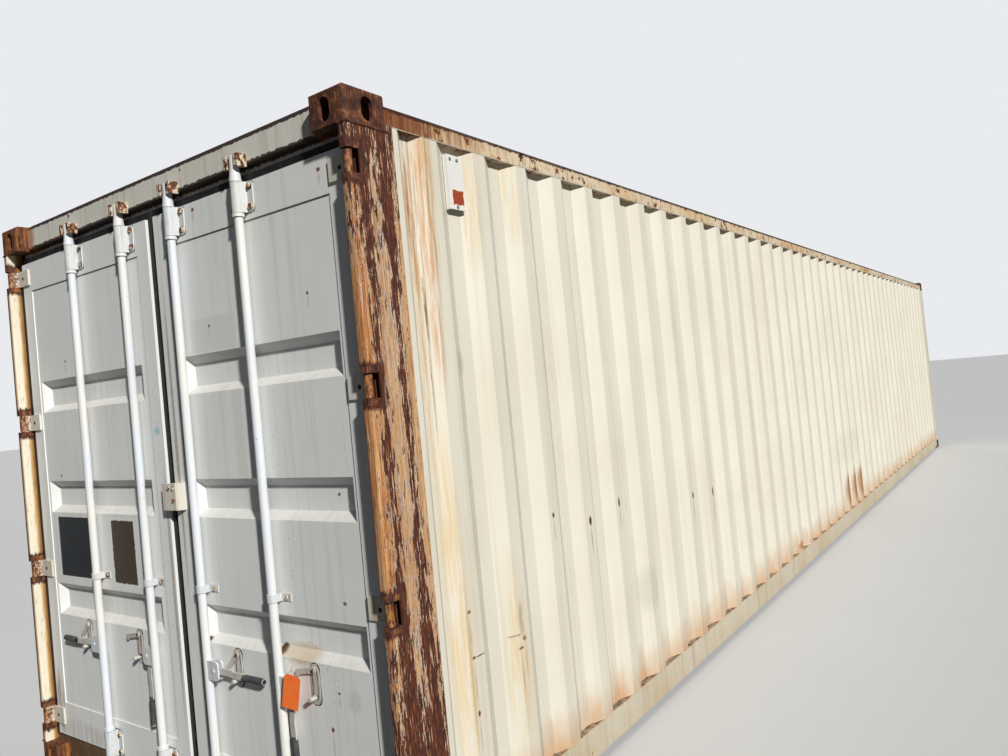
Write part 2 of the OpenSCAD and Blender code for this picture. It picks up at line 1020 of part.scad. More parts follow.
corner_castings_top();
corner_castings_bottom();
rear_posts();
front_posts();
door_header();
door_sill();
cam_keepers();
hinge_pins();
front_top_rail();
front_bottom_rail();
front_wall();
side_walls();
top_side_rails();
bottom_side_rails();
roof();
roof_plates();
floor_boards();
cross_members();
gooseneck_tunnel();
vents();
left_frame();
left_panel();
left_gasket();
left_hinge_blades();
left_brackets();
left_catches();
right_frame();
right_panel();
right_gasket();
right_hinge_blades();
right_brackets();
right_catches();
centre_catch();
lock_bar_1();
lock_bar_2();
lock_bar_3();
lock_bar_4();
handle_1();
handle_2();
handle_3();
handle_4();
hasp_1();
hasp_2();
hasp_3();
hasp_4();
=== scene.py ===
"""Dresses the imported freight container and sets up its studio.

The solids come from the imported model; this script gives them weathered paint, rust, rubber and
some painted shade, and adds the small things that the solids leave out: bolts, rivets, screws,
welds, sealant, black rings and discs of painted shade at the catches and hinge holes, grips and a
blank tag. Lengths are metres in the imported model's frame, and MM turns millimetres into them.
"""

from __future__ import annotations

import logging
import math
import random
from collections.abc import Callable
from dataclasses import dataclass, field
from enum import Enum
from functools import partial
from itertools import product

import bmesh
import bpy
from mathutils import Matrix, Vector


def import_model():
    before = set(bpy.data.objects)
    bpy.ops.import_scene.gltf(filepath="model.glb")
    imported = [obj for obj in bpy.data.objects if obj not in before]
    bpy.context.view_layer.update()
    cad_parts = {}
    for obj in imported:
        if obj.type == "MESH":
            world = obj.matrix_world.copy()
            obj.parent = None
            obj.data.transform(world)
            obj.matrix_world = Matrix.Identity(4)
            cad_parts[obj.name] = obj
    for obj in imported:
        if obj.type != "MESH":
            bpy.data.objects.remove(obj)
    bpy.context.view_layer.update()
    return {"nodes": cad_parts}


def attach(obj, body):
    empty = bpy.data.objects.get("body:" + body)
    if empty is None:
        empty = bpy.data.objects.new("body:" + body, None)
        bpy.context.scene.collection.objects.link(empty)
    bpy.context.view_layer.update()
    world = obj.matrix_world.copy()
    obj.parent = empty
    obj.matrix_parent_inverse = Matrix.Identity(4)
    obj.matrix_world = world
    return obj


LOG = logging.getLogger("container")
MM = 0.001
# Grain of a noise in coordinates that are stretched already.
UNIT = 1 / MM
Node, Material = bpy.types.Node, bpy.types.Material
Nodes = dict[str, bpy.types.Object]
Add = Callable[..., Node]
Pair = tuple[float, float]

# Sizes that the pieces of this file share with the solids, in millimetres.
LENGTH, WIDTH, HEIGHT = 12192, 2438, 2591
CASTING = 118
END_X = -LENGTH / 2
BAR_DEPTH = 30
FRAME_DEPTH = 54
PANEL_DEPTH = 58
BARS = {1: 615, 2: 185, 3: -185, 4: -615}
HANDLE_Z = 640
PIVOT_OFFSET = 50
CATCH_OFFSET = 160
HINGE_Z = (239.5, 943.5, 1647.5, 2351.5)
HINGE_FROM_SIDE = 24
BEARING_Z = (207, 2363)
BEARING_SIZE = (126, 110)
HANDLE_LENGTH = 290
GRIP_LENGTH = 118
CATCH_MIDDLE = HANDLE_Z + 16

# Radius and height pairs of a rivet's head and of a screw's head.
RIVET = [(0, 0), (8.8, 0), (8.2, 1.2), (5, 2.2), (0, 2.4)]
SCREW = [(0, 0), (7, 0), (6.4, 2.4), (3.4, 3.8), (0, 4)]


# Colour and node helpers


def linear(hex_code: str) -> tuple[float, float, float, float]:
    """Turn an sRGB hex colour into linear RGBA.

    Args:
        hex_code: a colour such as "#D5D3CB".

    Returns:
        Linear red, green, blue and an alpha of 1.
    """
    parts = [int(hex_code[i : i + 2], 16) / 255 for i in (1, 3, 5)]
    lin = [c / 12.92 if c <= 0.04045 else ((c + 0.055) / 1.055) ** 2.4 for c in parts]
    return (*lin, 1.0)


def add(
    tree: bpy.types.NodeTree,
    kind: str,
    *inputs: object,
    at: dict[str, object] | None = None,
    stops: dict[float, str] | None = None,
) -> Node:
    """Add one shader node with its settings and links.

    Args:
        tree: the node tree that gets the node.
        kind: its type without the ShaderNode prefix, with its operation after a colon.
        inputs: a value, hex colour, node or socket for each input in turn; None leaves it alone.
        at: the same by the input's name.
        stops: the places and hex colours of a colour ramp.

    Returns:
        The new node.
    """
    kind, _, operation = kind.partition(":")
    made = tree.nodes.new("ShaderNode" + kind)
    if operation:
        made.operation = operation
    if stops:
        ramp = made.color_ramp.elements
        places = sorted(stops)
        ramp[0].position, ramp[-1].position = places[0], places[-1]
        ramp[0].color, ramp[-1].color = linear(stops[places[0]]), linear(stops[places[-1]])
        for place in places[1:-1]:
            ramp.new(place).color = linear(stops[place])
    wanted = [(made.inputs[i], v) for i, v in enumerate(inputs) if v is not None]
    wanted += [(made.inputs[name], v) for name, v in (at or {}).items()]
    for socket, value in wanted:
        if isinstance(value, Node):
            tree.links.new(value.outputs[0], socket)
        elif isinstance(value, bpy.types.NodeSocket):
            tree.links.new(value, socket)
        else:
            socket.default_value = linear(value) if isinstance(value, str) else value
    return made


def grain(size: float, detail: float, rough: float = 0.5) -> dict[str, float]:
    """Inputs of a noise whose grain is this many millimetres."""
    return {"Scale": 1 / (size * MM), "Detail": detail, "Roughness": rough}


def layer(
    node: Add, under: object, over: object, value: object, low: float, high: float,
    most: float = 1.0,
) -> Node:
    """Lay one colour over another where a value runs from one limit to the other.

    Args:
        node: adds a node to the material.
        under: the colour below.
        over: the colour on top.
        value: what decides how much shows.
        low: the value at which it starts to show.
        high: the value at which it shows most, above or below low.
        most: its share there.

    Returns:
        The mixed colour.
    """
    cover = node("MapRange", value, low, high, 0.0, most)
    return node("MixRGB", cover, under, over)


def surface(
    node: Add, colour: object, rough: object, height: object, strength: float, depth: float,
    metallic: float = 0.0,
) -> None:
    """Close a material with a bump and its shader.

    Args:
        node: adds a node to the material.
        colour: of the surface.
        rough: its roughness.
        height: what the bump follows.
        strength: of the bump.
        depth: of the bump, in millimetres.
        metallic: 1 for bare metal.
    """
    # Paint, rubber and wood have an IOR near Blender's default of 1.5, and a metal keeps it too.
    bump = node("Bump", at={"Strength": strength, "Distance": depth * MM, "Height": height})
    look = {"Base Color": colour, "Metallic": metallic, "Roughness": rough, "Normal": bump}
    node("OutputMaterial", node("BsdfPrincipled", at=look))


def new_material(name: str) -> tuple[Material, Add, bpy.types.NodeSocket]:
    """Make an empty node material.

    Args:
        name: the material's name.

    Returns:
        The material, what adds a node to it, and the object's coordinates, in metres.
    """
    material = bpy.data.materials.new(name)
    material.use_nodes = True
    material.node_tree.nodes.clear()
    node = partial(add, material.node_tree)
    return material, node, node("TexCoord").outputs["Object"]


def rust_colour(node: Add, place: object) -> Node:
    """Colour of old rust: dark scale, brown rust and fresh orange bloom in patches.

    Args:
        node: adds a node to the material.
        place: the coordinates, in metres.

    Returns:
        A colour ramp node.
    """
    broad = node("TexNoise", place, at=grain(90, 6, 0.65))
    fine = node("TexNoise", place, at=grain(9, 3))
    both = node("Math:ADD", broad, fine)
    spread = node("MapRange", both, 0.75, 1.3)
    tones = {0.0: "#2E1A14", 0.35: "#4E2A1B", 0.62: "#74402A", 0.85: "#9C5C30", 1.0: "#B57A45"}
    return node("ValToRGB", spread, stops=tones)


def upright_noise(
    node: Add, place: object, across: float, tall: float, detail: float = 4.0
) -> Node:
    """Noise drawn out along the way that rain runs.

    Args:
        node: adds a node to the material.
        place: the coordinates, in metres.
        across: its grain sideways, in millimetres.
        tall: its grain up and down, in millimetres.
        detail: octaves.

    Returns:
        The noise node, its value around 0.5.
    """
    stretch = (1 / (across * MM), 1 / (across * MM), 1 / (tall * MM))
    drawn = node("VectorMath:MULTIPLY", place, stretch)
    return node("TexNoise", drawn, at=grain(UNIT, detail, 0.66))


# Marks: stains, runs and patches at measured places


class Shape(Enum):
    """Outline of a mark."""

    BLOT = "round blot"
    RUN = "blot with a run under it"
    PATCH = "rectangle"
    STREAK = "broken upright streaks inside a blot"
    SPECKLE = "small dots strewn over a blot"


class Face(Enum):
    """Wall of the container that a set of marks lies on."""

    DOOR_END = "across the doors"
    LONG_SIDE = "along the side"


@dataclass(frozen=True)
class Mark:
    """A stain, rust spot or painted patch.

    Attributes:
        shape: outline of the mark.
        at: its middle, along the wall and up, in millimetres.
        size: half width and half height, in millimetres.
        colour: sRGB hex.
        strength: how much it covers what lies under it.
        run: length of the run below it, in millimetres.
        ragged: how far its outline wanders, in millimetres.
    """

    shape: Shape
    at: Pair
    size: Pair
    colour: str
    strength: float = 1.0
    run: float = 0.0
    ragged: float = 6.0

    def mask(self, node: Add, flat: object, wander: object) -> Node:
        """Coverage of the mark from 0 to 1.

        Args:
            node: adds a node to the material.
            flat: coordinates in the wall's plane, in metres.
            wander: a vector noise around zero for ragged outlines.

        Returns:
            A node with the coverage.
        """
        across, tall = (half * MM for half in self.size)
        moved = node("VectorMath:MULTIPLY_ADD", wander, (self.ragged * MM,) * 3, flat)
        centre = (self.at[0] * MM, self.at[1] * MM, 0)
        off = node("VectorMath:SUBTRACT", moved, centre)
        if self.shape is Shape.PATCH:
            size = node("VectorMath:ABSOLUTE", off)
            beyond = node("VectorMath:SUBTRACT", size, (across, tall, 1.0))
            x, y, _ = node("SeparateXYZ", beyond).outputs
            outside = node("Math:MAXIMUM", x, y)
            return node("MapRange", outside, 0.001, -0.001, 0.0, self.strength)
        scaled = node("VectorMath:MULTIPLY", off, (1 / across, 1 / tall, 0))
        reach = node("VectorMath:LENGTH", scaled).outputs["Value"]
        cover = node("MapRange", reach, 1.0, 0.55, 0.0, self.strength)
        if self.shape is Shape.STREAK:
            stretch = (1 / (11 * MM), 1 / (260 * MM), 0)
            drawn = node("VectorMath:MULTIPLY", flat, stretch)
            threads = node("TexNoise", drawn, at=grain(UNIT, 5, 0.7))
            broken = node("MapRange", threads, 0.4, 0.62)
            cover = node("Math:MULTIPLY", cover, broken)
        if self.shape is Shape.SPECKLE:
            dots = node("TexNoise", flat, at=grain(9, 2))
            strewn = node("Math:MULTIPLY_ADD", cover, 0.12, dots)
            cover = node("MapRange", strewn, 0.79, 0.8, 0.0, self.strength)
        if self.shape is Shape.RUN:
            half_run = self.run * MM / 2
            low = node("VectorMath:ADD", off, (0, half_run, 0))
            long = node("VectorMath:MULTIPLY", low, (2.2 / across, 1 / half_run, 0))
            away = node("VectorMath:LENGTH", long).outputs["Value"]
            trail = node("MapRange", away, 1.0, 0.2, 0.0, 0.6 * self.strength)
            cover = node("Math:MAXIMUM", cover, trail)
        return cover


def paint_marks(
    node: Add,
    colour: object,
    marks: tuple[Mark, ...],
    face: Face,
    place: object,
) -> object:
    """Lay marks over a colour, one after the other.

    Args:
        node: adds a node to the material.
        colour: the colour under the marks.
        marks: what to lay on it.
        face: the wall that the marks are measured on.
        place: the coordinates, in metres.

    Returns:
        The colour with the marks on it.
    """
    x, y, z = node("SeparateXYZ", place).outputs
    flat = node("CombineXYZ", y if face is Face.DOOR_END else x, z)
    noise = node("TexNoise", flat, at=grain(14, 3))
    wander = node("VectorMath:SUBTRACT", noise.outputs["Color"], (0.5, 0.5, 0.5))
    for mark in marks:
        cover = mark.mask(node, flat, wander)
        colour = node("MixRGB", cover, colour, mark.colour)
        if mark.shape is Shape.RUN:
            rim, middle = 0.86 * mark.strength, 0.99 * mark.strength
            colour = layer(node, colour, "#452417", cover, rim, middle, 0.8)
    return colour


BLOT, RUN, PATCH, STREAK, SPECKLE = Shape
RUST = "#6B3A22"
ORANGE = "#B06A34"
TAN = "#CDAE78"
SCALE = "#38201A"

SIDE_MARKS = (
    Mark(RUN, (-5136, 1068), (9, 14), RUST, 0.9, 120),
    Mark(RUN, (-4848, 988), (14, 26), RUST, 0.95, 160),
    Mark(RUN, (-4573, 1020), (10, 30), RUST, 0.9, 140),
    Mark(RUN, (-3715, 905), (12, 22), RUST, 0.9, 160),
    Mark(RUN, (-3422, 878), (14, 34), RUST, 0.9, 200),
    Mark(RUN, (-5721, 848), (14, 9), ORANGE, 0.9, 170),
    Mark(RUN, (-5716, 690), (12, 7), ORANGE, 0.95, 190),
    Mark(BLOT, (-5682, 688), (38, 3), "#5A2E16", 0.9, ragged=4),
    Mark(RUN, (-5714, 500), (9, 14), ORANGE, 0.9, 150),
    Mark(STREAK, (-5420, 735), (20, 80), "#5A2E16", 0.95, ragged=8),
    Mark(BLOT, (-5462, 683), (34, 4), "#5A2E16", 0.8, ragged=6),
    Mark(RUN, (-5412, 662), (14, 12), ORANGE, 0.95, 170),
    Mark(RUN, (-5438, 632), (20, 7), ORANGE, 0.95, 200),
    Mark(STREAK, (-5738, 2200), (42, 700), "#C98F4C", 0.95, ragged=14),
    Mark(STREAK, (-5760, 900), (60, 650), "#DDBF8A", 0.8, ragged=20),
    Mark(STREAK, (-5440, 620), (70, 420), "#DDBF8A", 0.7, ragged=20),
    Mark(STREAK, (-5800, 2050), (34, 900), "#D3B27C", 0.9, ragged=14),
    Mark(STREAK, (-5795, 2420), (24, 560), "#A96A34", 0.95, ragged=12),
    Mark(STREAK, (-5768, 1950), (5, 600), "#6E5437", 0.95, ragged=5),
    Mark(STREAK, (-5715, 2300), (30, 420), "#C9A36B", 0.7, ragged=12),
    Mark(STREAK, (-5480, 2330), (60, 330), "#D8BE90", 0.7, ragged=14),
    Mark(STREAK, (-5205, 2380), (50, 260), "#D8BE90", 0.6, ragged=14),
    Mark(BLOT, (-5733, 620), (9, 330), TAN, 0.7, ragged=8),
    *(Mark(BLOT, (x, 335), (120, 190), "#A9713F", 0.9, ragged=50) for x in (-60, 220)),
    Mark(BLOT, (470, 335), (100, 190), "#A9713F", 0.85, ragged=50),
    Mark(BLOT, (-1765, 196), (70, 34), ORANGE, 0.7),
    Mark(BLOT, (60, 728), (700, 180), "#C9C9B6", 0.25, ragged=80),
    Mark(BLOT, (-5608, 1704), (38, 60), "#B9B7AC", 0.6, ragged=16),
    Mark(BLOT, (-4320, 556), (110, 130), "#BDB9AB", 0.35, ragged=60),
)

HEADER_MARKS = (
    Mark(PATCH, (0, 2583), (1100, 13), SCALE, 0.95, ragged=16),
    Mark(PATCH, (0, 2480), (1100, 9), SCALE, 0.95, ragged=20),
    Mark(BLOT, (1045, 2530), (70, 90), ORANGE, 0.75, ragged=40),
    Mark(BLOT, (-1040, 2530), (50, 90), ORANGE, 0.7, ragged=40),
    Mark(RUN, (640, 2560), (10, 10), ORANGE, 0.8, 70),
    Mark(RUN, (-250, 2556), (8, 8), ORANGE, 0.8, 70),
)

RAIL_MARKS = (
    Mark(BLOT, (-5880, 2525), (240, 90), "#8E5530", 0.9, ragged=60),
    Mark(STREAK, (-5760, 2530), (420, 70), "#6B3822", 0.9, ragged=30),
    Mark(PATCH, (0, 2551), (6100, 8), SCALE, 0.9, ragged=22),
)

VENT_MARKS = (
    Mark(PATCH, (-5546, 2309), (38, 34), "#F2EBDC", 0.9, ragged=16),
    Mark(PATCH, (-5546, 2308), (31, 27), "#A2472A", 1.0, ragged=16),
)

DOOR_MARKS = (
    Mark(PATCH, (844, 1055), (150, 138), "#33383D", 1.0, ragged=3),
    Mark(PATCH, (417, 1050), (106, 150), "#F3F3EE", 1.0, ragged=14),
    Mark(PATCH, (417, 1050), (92, 136), "#50463B", 1.0, ragged=16),
    Mark(PATCH, (-360, 1910), (140, 64), "#E6E6E0", 0.8, ragged=4),
    Mark(PATCH, (-471, 1530), (30, 160), "#E4E4DE", 0.7, ragged=4),
    Mark(BLOT, (70, 1560), (26, 22), "#A9D3DA", 0.7),
    *(Mark(PATCH, (y, 2283), (477, 1.2), "#6A5A48", 0.8, ragged=2) for y in (-587, 587)),
    *(Mark(PATCH, (y, 1294), (1.2, 989), "#6A5A48", 0.7, ragged=2) for y in (-110, 110)),
    *(Mark(RUN, at, (12, 10), ORANGE, 0.8, 60) for at in ((-305, 2390), (-1020, 2373))),
    *(Mark(RUN, at, (8, 8), ORANGE, 0.8, 60) for at in ((-909, 1982), (-340, 1940))),
    Mark(RUN, (-152, 740), (24, 16), RUST, 0.95, 300),
    Mark(RUN, (-594, 750), (26, 22), RUST, 0.95, 260),
    *(Mark(RUN, at, (9, 8), ORANGE, 0.8, 70) for at in ((927, 1387), (800, 1915))),
    Mark(SPECKLE, (-860, 670), (70, 110), RUST, 0.95),
    Mark(BLOT, (-960, 625), (40, 54), "#A09A88", 0.22, ragged=60),
    Mark(RUN, (-888, 640), (7, 7), RUST, 0.9, 60),
    Mark(BLOT, (-60, 1500), (12, 700), "#8E6A44", 0.55, ragged=10),
    Mark(BLOT, (45, 900), (12, 600), "#8E6A44", 0.5, ragged=10),
    Mark(SPECKLE, (-690, 1420), (70, 200), "#2A2B2C", 0.9),
    Mark(SPECKLE, (-700, 1100), (60, 190), "#2A2B2C", 0.9),
    Mark(SPECKLE, (60, 1300), (46, 1000), RUST, 0.9),
    Mark(SPECKLE, (-46, 1300), (40, 1000), RUST, 0.9),
    Mark(RUN, (-840, 512), (9, 12), ORANGE, 0.9, 130),
    Mark(BLOT, (-940, 1300), (9, 8), RUST, 0.9),
    Mark(BLOT, (-955, 945), (10, 8), RUST, 0.9),
    Mark(RUN, (-150, 905), (8, 8), RUST, 0.9, 60),
    Mark(RUN, (-585, 905), (10, 8), RUST, 0.9, 60),
    Mark(BLOT, (-700, 745), (120, 40), "#C9B48A", 0.6, ragged=30),
    Mark(STREAK, (1110, 300), (40, 190), "#8A5A36", 0.9, ragged=14),
    Mark(STREAK, (900, 190), (330, 60), "#9A8468", 0.4, ragged=20),
    Mark(STREAK, (-700, 200), (400, 70), "#8A6A4A", 0.5, ragged=20),
)


# Finishes


@dataclass(frozen=True)
class WeatheredPaint:
    """Chlorinated rubber paint sprayed on blasted steel, years outdoors: chalky, streaked, chipped.

    The chalk takes the shine off, rain leaves thin vertical streaks, and rust shows through chips.

    Attributes:
        name: the material's name.
        base: the paint.
        chalk: the paint where it has chalked.
        stain: the streaks.
        streaks: how strongly they show.
        streak_size: their width and length, in millimetres.
        ledge_dust: how much dust lies on faces that look up.
        ledge_colour: its colour.
        chips: how much paint has chipped, from 0 to 1.
        chip_size: grain of the chips, in millimetres.
        low_dirt: how strongly dirt shows near the ground.
        low_dirt_top: how high it reaches, in millimetres.
        rust_outside: rust lies farther out than this from the middle, in millimetres.
        roughness: of the paint.
        face: the wall that its marks are measured on.
        marks: what lies on it.
    """

    name: str
    base: str
    chalk: str
    stain: str
    streaks: float = 0.3
    streak_size: Pair = (34.0, 1400.0)
    ledge_dust: float = 0.0
    ledge_colour: str = "#D2C7AA"
    chips: float = 0.2
    chip_size: float = 22.0
    low_dirt: float = 0.0
    low_dirt_top: float = 300.0
    rust_outside: float = 0.0
    roughness: float = 0.55
    face: Face = Face.LONG_SIDE
    marks: tuple[Mark, ...] = field(default_factory=tuple)

    def make(self) -> Material:
        """Build the material."""
        material, node, place = new_material(self.name)
        _, y, z = node("SeparateXYZ", place).outputs
        cloud = node("TexNoise", place, at=grain(450, 5))
        colour: object = layer(node, self.base, self.chalk, cloud, 0.35, 0.7)
        rain = upright_noise(node, place, *self.streak_size)
        colour = layer(node, colour, self.stain, rain, 0.52, 0.78, self.streaks)
        rust = rust_colour(node, place)
        if self.ledge_dust:
            faces_up = node("SeparateXYZ", node("NewGeometry").outputs["True Normal"])
            ledge = node("MapRange", faces_up.outputs["Z"], 0.2, 0.5, 0.0, self.ledge_dust)
            gathered = node("MapRange", rain, 0.3, 0.6, 0.3, 1.0)
            ledge = node("Math:MULTIPLY", ledge, gathered)
            colour = node("MixRGB", ledge, colour, self.ledge_colour)
        if self.low_dirt:
            splash = upright_noise(node, place, 90, 240)
            up = node("Math:MULTIPLY_ADD", splash, -0.3, z)
            low = self.low_dirt_top * MM - 0.15
            colour = layer(node, colour, "#C58F52", up, low + 0.06, low - 0.14, self.low_dirt)
        flecks = node("TexNoise", place, at=grain(self.chip_size, 5, 0.62))
        edge = 0.79 - 0.25 * self.chips
        bare = node("MapRange", flecks, edge, edge + 0.02)
        if self.rust_outside:
            away = node("Math:ABSOLUTE", y)
            wave = node("Math:MULTIPLY_ADD", flecks, 0.05, away)
            reach = (self.rust_outside + 25) * MM
            old = node("MapRange", wave, reach - 0.006, reach + 0.006)
            bloom = upright_noise(node, place, 9, 30, 5.0)
            rust = layer(node, rust, "#C2874A", bloom, 0.44, 0.6, 0.9)
            bare = node("Math:MAXIMUM", bare, old)
        colour = layer(node, colour, "#B98B58", flecks, edge - 0.06, edge + 0.02, 0.45)
        colour = node("MixRGB", bare, colour, rust)
        if self.marks:
            colour = paint_marks(node, colour, self.marks, self.face, place)
        rough = node("MapRange", cloud, 0.3, 0.7, self.roughness - 0.06, self.roughness + 0.08)
        # Sprayed paint has a finer texture; it is drawn at 3 mm so that it shows.
        tooth = node("TexNoise", place, at=grain(3, 2))
        height = node("Math:MULTIPLY_ADD", tooth, 0.25, bare)
        surface(node, colour, rough, height, 0.25, 0.6)
        return material


@dataclass(frozen=True)
class PeelingPost:
    """Cold-pressed door post whose paint is coming off in upright slivers over layered rust.

    The right post is stained orange and tan, with two bands of dark scale down its side, pale paint
    edges round them, grey primer between them and more scale at the top, the foot and the hinges.
    The left post keeps its ivory paint, with ochre and brown along its edges. Behind the noses the
    flanks are painted near black: black worn off the door seals, and painted shade of the gap
    beside the doors.

    Attributes:
        name: the material's name.
        bands: depth of the two bands behind the door end plane, in millimetres.
        band_half: how far a band reaches to each side, in millimetres.
        primer: depth of the grey primer, in millimetres.
        notch_reach: how far scale reaches up and down from a hinge, in millimetres.
        foot: the heights between which the scale at the foot grows, in metres.
        head: the same for the top.
    """

    name: str = "peeling_post_paint"
    bands: Pair = (60.0, 160.0)
    band_half: float = 34.0
    primer: float = 112.0
    notch_reach: float = 74.0
    foot: Pair = (1.05, 0.45)
    head: Pair = (1.9, 2.46)

    def make(self) -> Material:
        """Build the material."""
        material, node, place = new_material(self.name)
        x, y, z = node("SeparateXYZ", place).outputs
        deep = node("Math:SUBTRACT", x, END_X * MM)
        sway = upright_noise(node, place, 60, 170, 3.0)
        deep_there = node("Math:MULTIPLY_ADD", sway, 0.06, deep)
        deep_there = node("Math:SUBTRACT", deep_there, 0.03)
        tan = upright_noise(node, place, 9, 380, 5.0)
        tones = {0.3: "#7C4225", 0.42: "#B06B35", 0.52: "#C88C50", 0.62: "#DAB587", 0.74: "#E6D5B4"}
        stained = node("ValToRGB", tan, stops=tones)
        stained = layer(node, stained, "#D9BC90", deep, 0.055, 0.1, 0.4)
        thread = upright_noise(node, place, 3.6, 150, 5.0)
        stained = layer(node, stained, "#7A4022", thread, 0.47, 0.36, 0.85)
        stained = layer(node, stained, "#EBDDC2", thread, 0.56, 0.68, 0.6)
        primer = upright_noise(node, place, 7, 130, 6.0)
        between = node("Math:ABSOLUTE", node("Math:SUBTRACT", deep, self.primer * MM))
        primer = node("Math:SUBTRACT", primer, between)
        stained = layer(node, stained, "#B7ABAA", primer, 0.51, 0.55, 0.75)
        flake = upright_noise(node, place, 9, 75, 10.0)
        bias: object = 0.0
        for centre in self.bands:
            off = node("Math:ABSOLUTE", node("Math:SUBTRACT", deep_there, centre * MM))
            band = node("MapRange", off, self.band_half * MM, 0.0, 0.0, 0.23)
            bias = node("Math:ADD", band, bias)
        foot = node("MapRange", z, *self.foot, 0.0, 0.21)
        head = node("MapRange", z, *self.head, 0.0, 0.17)
        for extra in (foot, head, flake):
            bias = node("Math:ADD", bias, extra)
        scale = node("MapRange", bias, 0.612, 0.622)
        fine = upright_noise(node, place, 7, 60, 6.0)
        dark_tones = {0.3: "#2C1610", 0.5: "#4C261A", 0.62: "#6E3620", 0.75: "#8C4A28"}
        dark = node("ValToRGB", fine, stops=dark_tones)
        right = layer(node, stained, "#E9DFC9", bias, 0.585, 0.605, 0.75)
        right = node("MixRGB", scale, right, dark)
        sliver = upright_noise(node, place, 4.5, 60, 8.0)
        for over, low, high, most in (
            ("#4A2518", 0.39, 0.37, 1.0),
            ("#B36D38", 0.575, 0.6, 0.75),
            ("#DDCDB2", 0.63, 0.645, 0.9),
        ):
            right = layer(node, right, over, sliver, low, high, most)
        away = node("Math:ABSOLUTE", y)
        in_from_side = node("Math:SUBTRACT", WIDTH / 2 * MM, away)
        wander = upright_noise(node, place, 12, 90, 5.0)
        round_nose = node("Math:ADD", deep, in_from_side)
        across = node("Math:MULTIPLY_ADD", wander, 0.02, round_nose)
        share = node("MapRange", across, 0.012, 0.112)
        edge_tones = {
            0.0: "#5C3A26", 0.2: "#6B4630", 0.3: "#D2B48A", 0.4: "#EDE3CC", 0.72: "#EFE6CF",
            0.8: "#CFA766", 0.9: "#94693A",
        }
        left = node("ValToRGB", share, stops=edge_tones)
        inner = node("MapRange", in_from_side, 0.009, 0.012)
        left = layer(node, left, "#A87A48", sliver, 0.6, 0.63, 0.8)
        front = node("MapRange", deep, 0.014, 0.01)
        ivory = node("Math:MAXIMUM", inner, front)
        far = node("MapRange", y, -0.1, 0.1)
        ivory = node("Math:MULTIPLY", ivory, far)
        colour = node("MixRGB", ivory, right, left)
        pitch = (HINGE_Z[1] - HINGE_Z[0]) * MM / 2
        from_hinge = node("Math:PINGPONG", node("Math:SUBTRACT", z, HINGE_Z[0] * MM), pitch)
        from_hinge = node("Math:MULTIPLY_ADD", wander, 0.05, from_hinge)
        reach = self.notch_reach * MM + 0.025
        before = node("MapRange", deep, 0.085, 0.06)
        near = node("MapRange", from_hinge, reach + 0.006, reach - 0.006)
        near = node("Math:MULTIPLY", near, before)
        colour = node("MixRGB", near, colour, dark)
        # Painted shade: the flanks behind the noses go near black, for black worn off the door seals
        # and for the shade of the gap beside the doors.
        behind = node("Math:GREATER_THAN", deep, 0.042)
        seal_black_and_gap_shade = node("Math:GREATER_THAN", in_from_side, 0.046)
        seal_black_and_gap_shade = node("Math:MULTIPLY", behind, seal_black_and_gap_shade)
        colour = node("MixRGB", seal_black_and_gap_shade, colour, "#1F2022")
        height = node("Math:MULTIPLY_ADD", fine, 0.5, scale)
        surface(node, colour, 0.8, height, 0.6, 1.2)
        return material


@dataclass(frozen=True)
class ScaledRust:
    """Cast or hot-rolled steel whose paint has gone: brown scale, streaked by rain.

    Scale is dark and rough, fresh rust runs down it in orange threads, and a share of old paint may
    cling in patches.
    """

    name: str
    paint: str
    paint_left: float = 0.0
    golden: float = 0.0
    patch: Pair = (40.0, 90.0)

    def make(self) -> Material:
        """Build the material."""
        material, node, place = new_material(self.name)
        _, y, _ = node("SeparateXYZ", place).outputs
        lumps = node("TexNoise", place, at=grain(30, 9, 0.74))
        threads = upright_noise(node, place, 5, 45, 6.0)
        both = node("Math:ADD", lumps, threads)
        spread = node("MapRange", both, 0.76, 1.26)
        tones = {0.0: "#24140F", 0.3: "#42241A", 0.55: "#603524", 0.75: "#7E4A2D", 1.0: "#AC7847"}
        colour: object = node("ValToRGB", spread, stops=tones)
        if self.golden:
            gold = upright_noise(node, place, 22, 300, 3.0)
            share = node("MapRange", gold, 0.5, 0.66, 0.0, self.golden)
            far = node("MapRange", y, -0.1, 0.1)
            share = node("Math:MULTIPLY", share, far)
            colour = node("MixRGB", share, colour, "#B5752F")
        flake = upright_noise(node, place, *self.patch, 7.0)
        limit = 0.72 - 0.4 * self.paint_left
        kept = node("MapRange", flake, limit, limit + 0.015)
        if self.paint_left:
            colour = layer(node, colour, "#B0743E", flake, limit - 0.05, limit, 0.7)
            colour = node("MixRGB", kept, colour, self.paint)
        pits = node("TexNoise", place, at=grain(6, 5, 0.7))
        height = node("Math:MULTIPLY_ADD", kept, 0.6, pits)
        height = node("Math:MULTIPLY_ADD", lumps, 1.5, height)
        surface(node, colour, 0.82, height, 0.7, 1.6)
        return material


@dataclass(frozen=True)
class PlainFinish:
    """A small-part finish of one colour with a fine grain and a little dirt.

    Moulded rubber, nylon and zinc-plated steel differ here by colour, metallic and roughness.
    """

    name: str
    base: str
    dirt: str
    roughness: float = 0.6
    metallic: float = 0.0
    tooth: float = 4.0

    def make(self) -> Material:
        """Build the material."""
        material, node, place = new_material(self.name)
        cloud = node("TexNoise", place, at=grain(40, 5))
        colour = layer(node, self.base, self.dirt, cloud, 0.45, 0.75)
        tooth = node("TexNoise", place, at=grain(self.tooth, 2))
        rough = node("MapRange", cloud, 0.3, 0.7, self.roughness - 0.05, self.roughness + 0.08)
        surface(node, colour, rough, tooth, 0.2, 0.3, self.metallic)
        return material


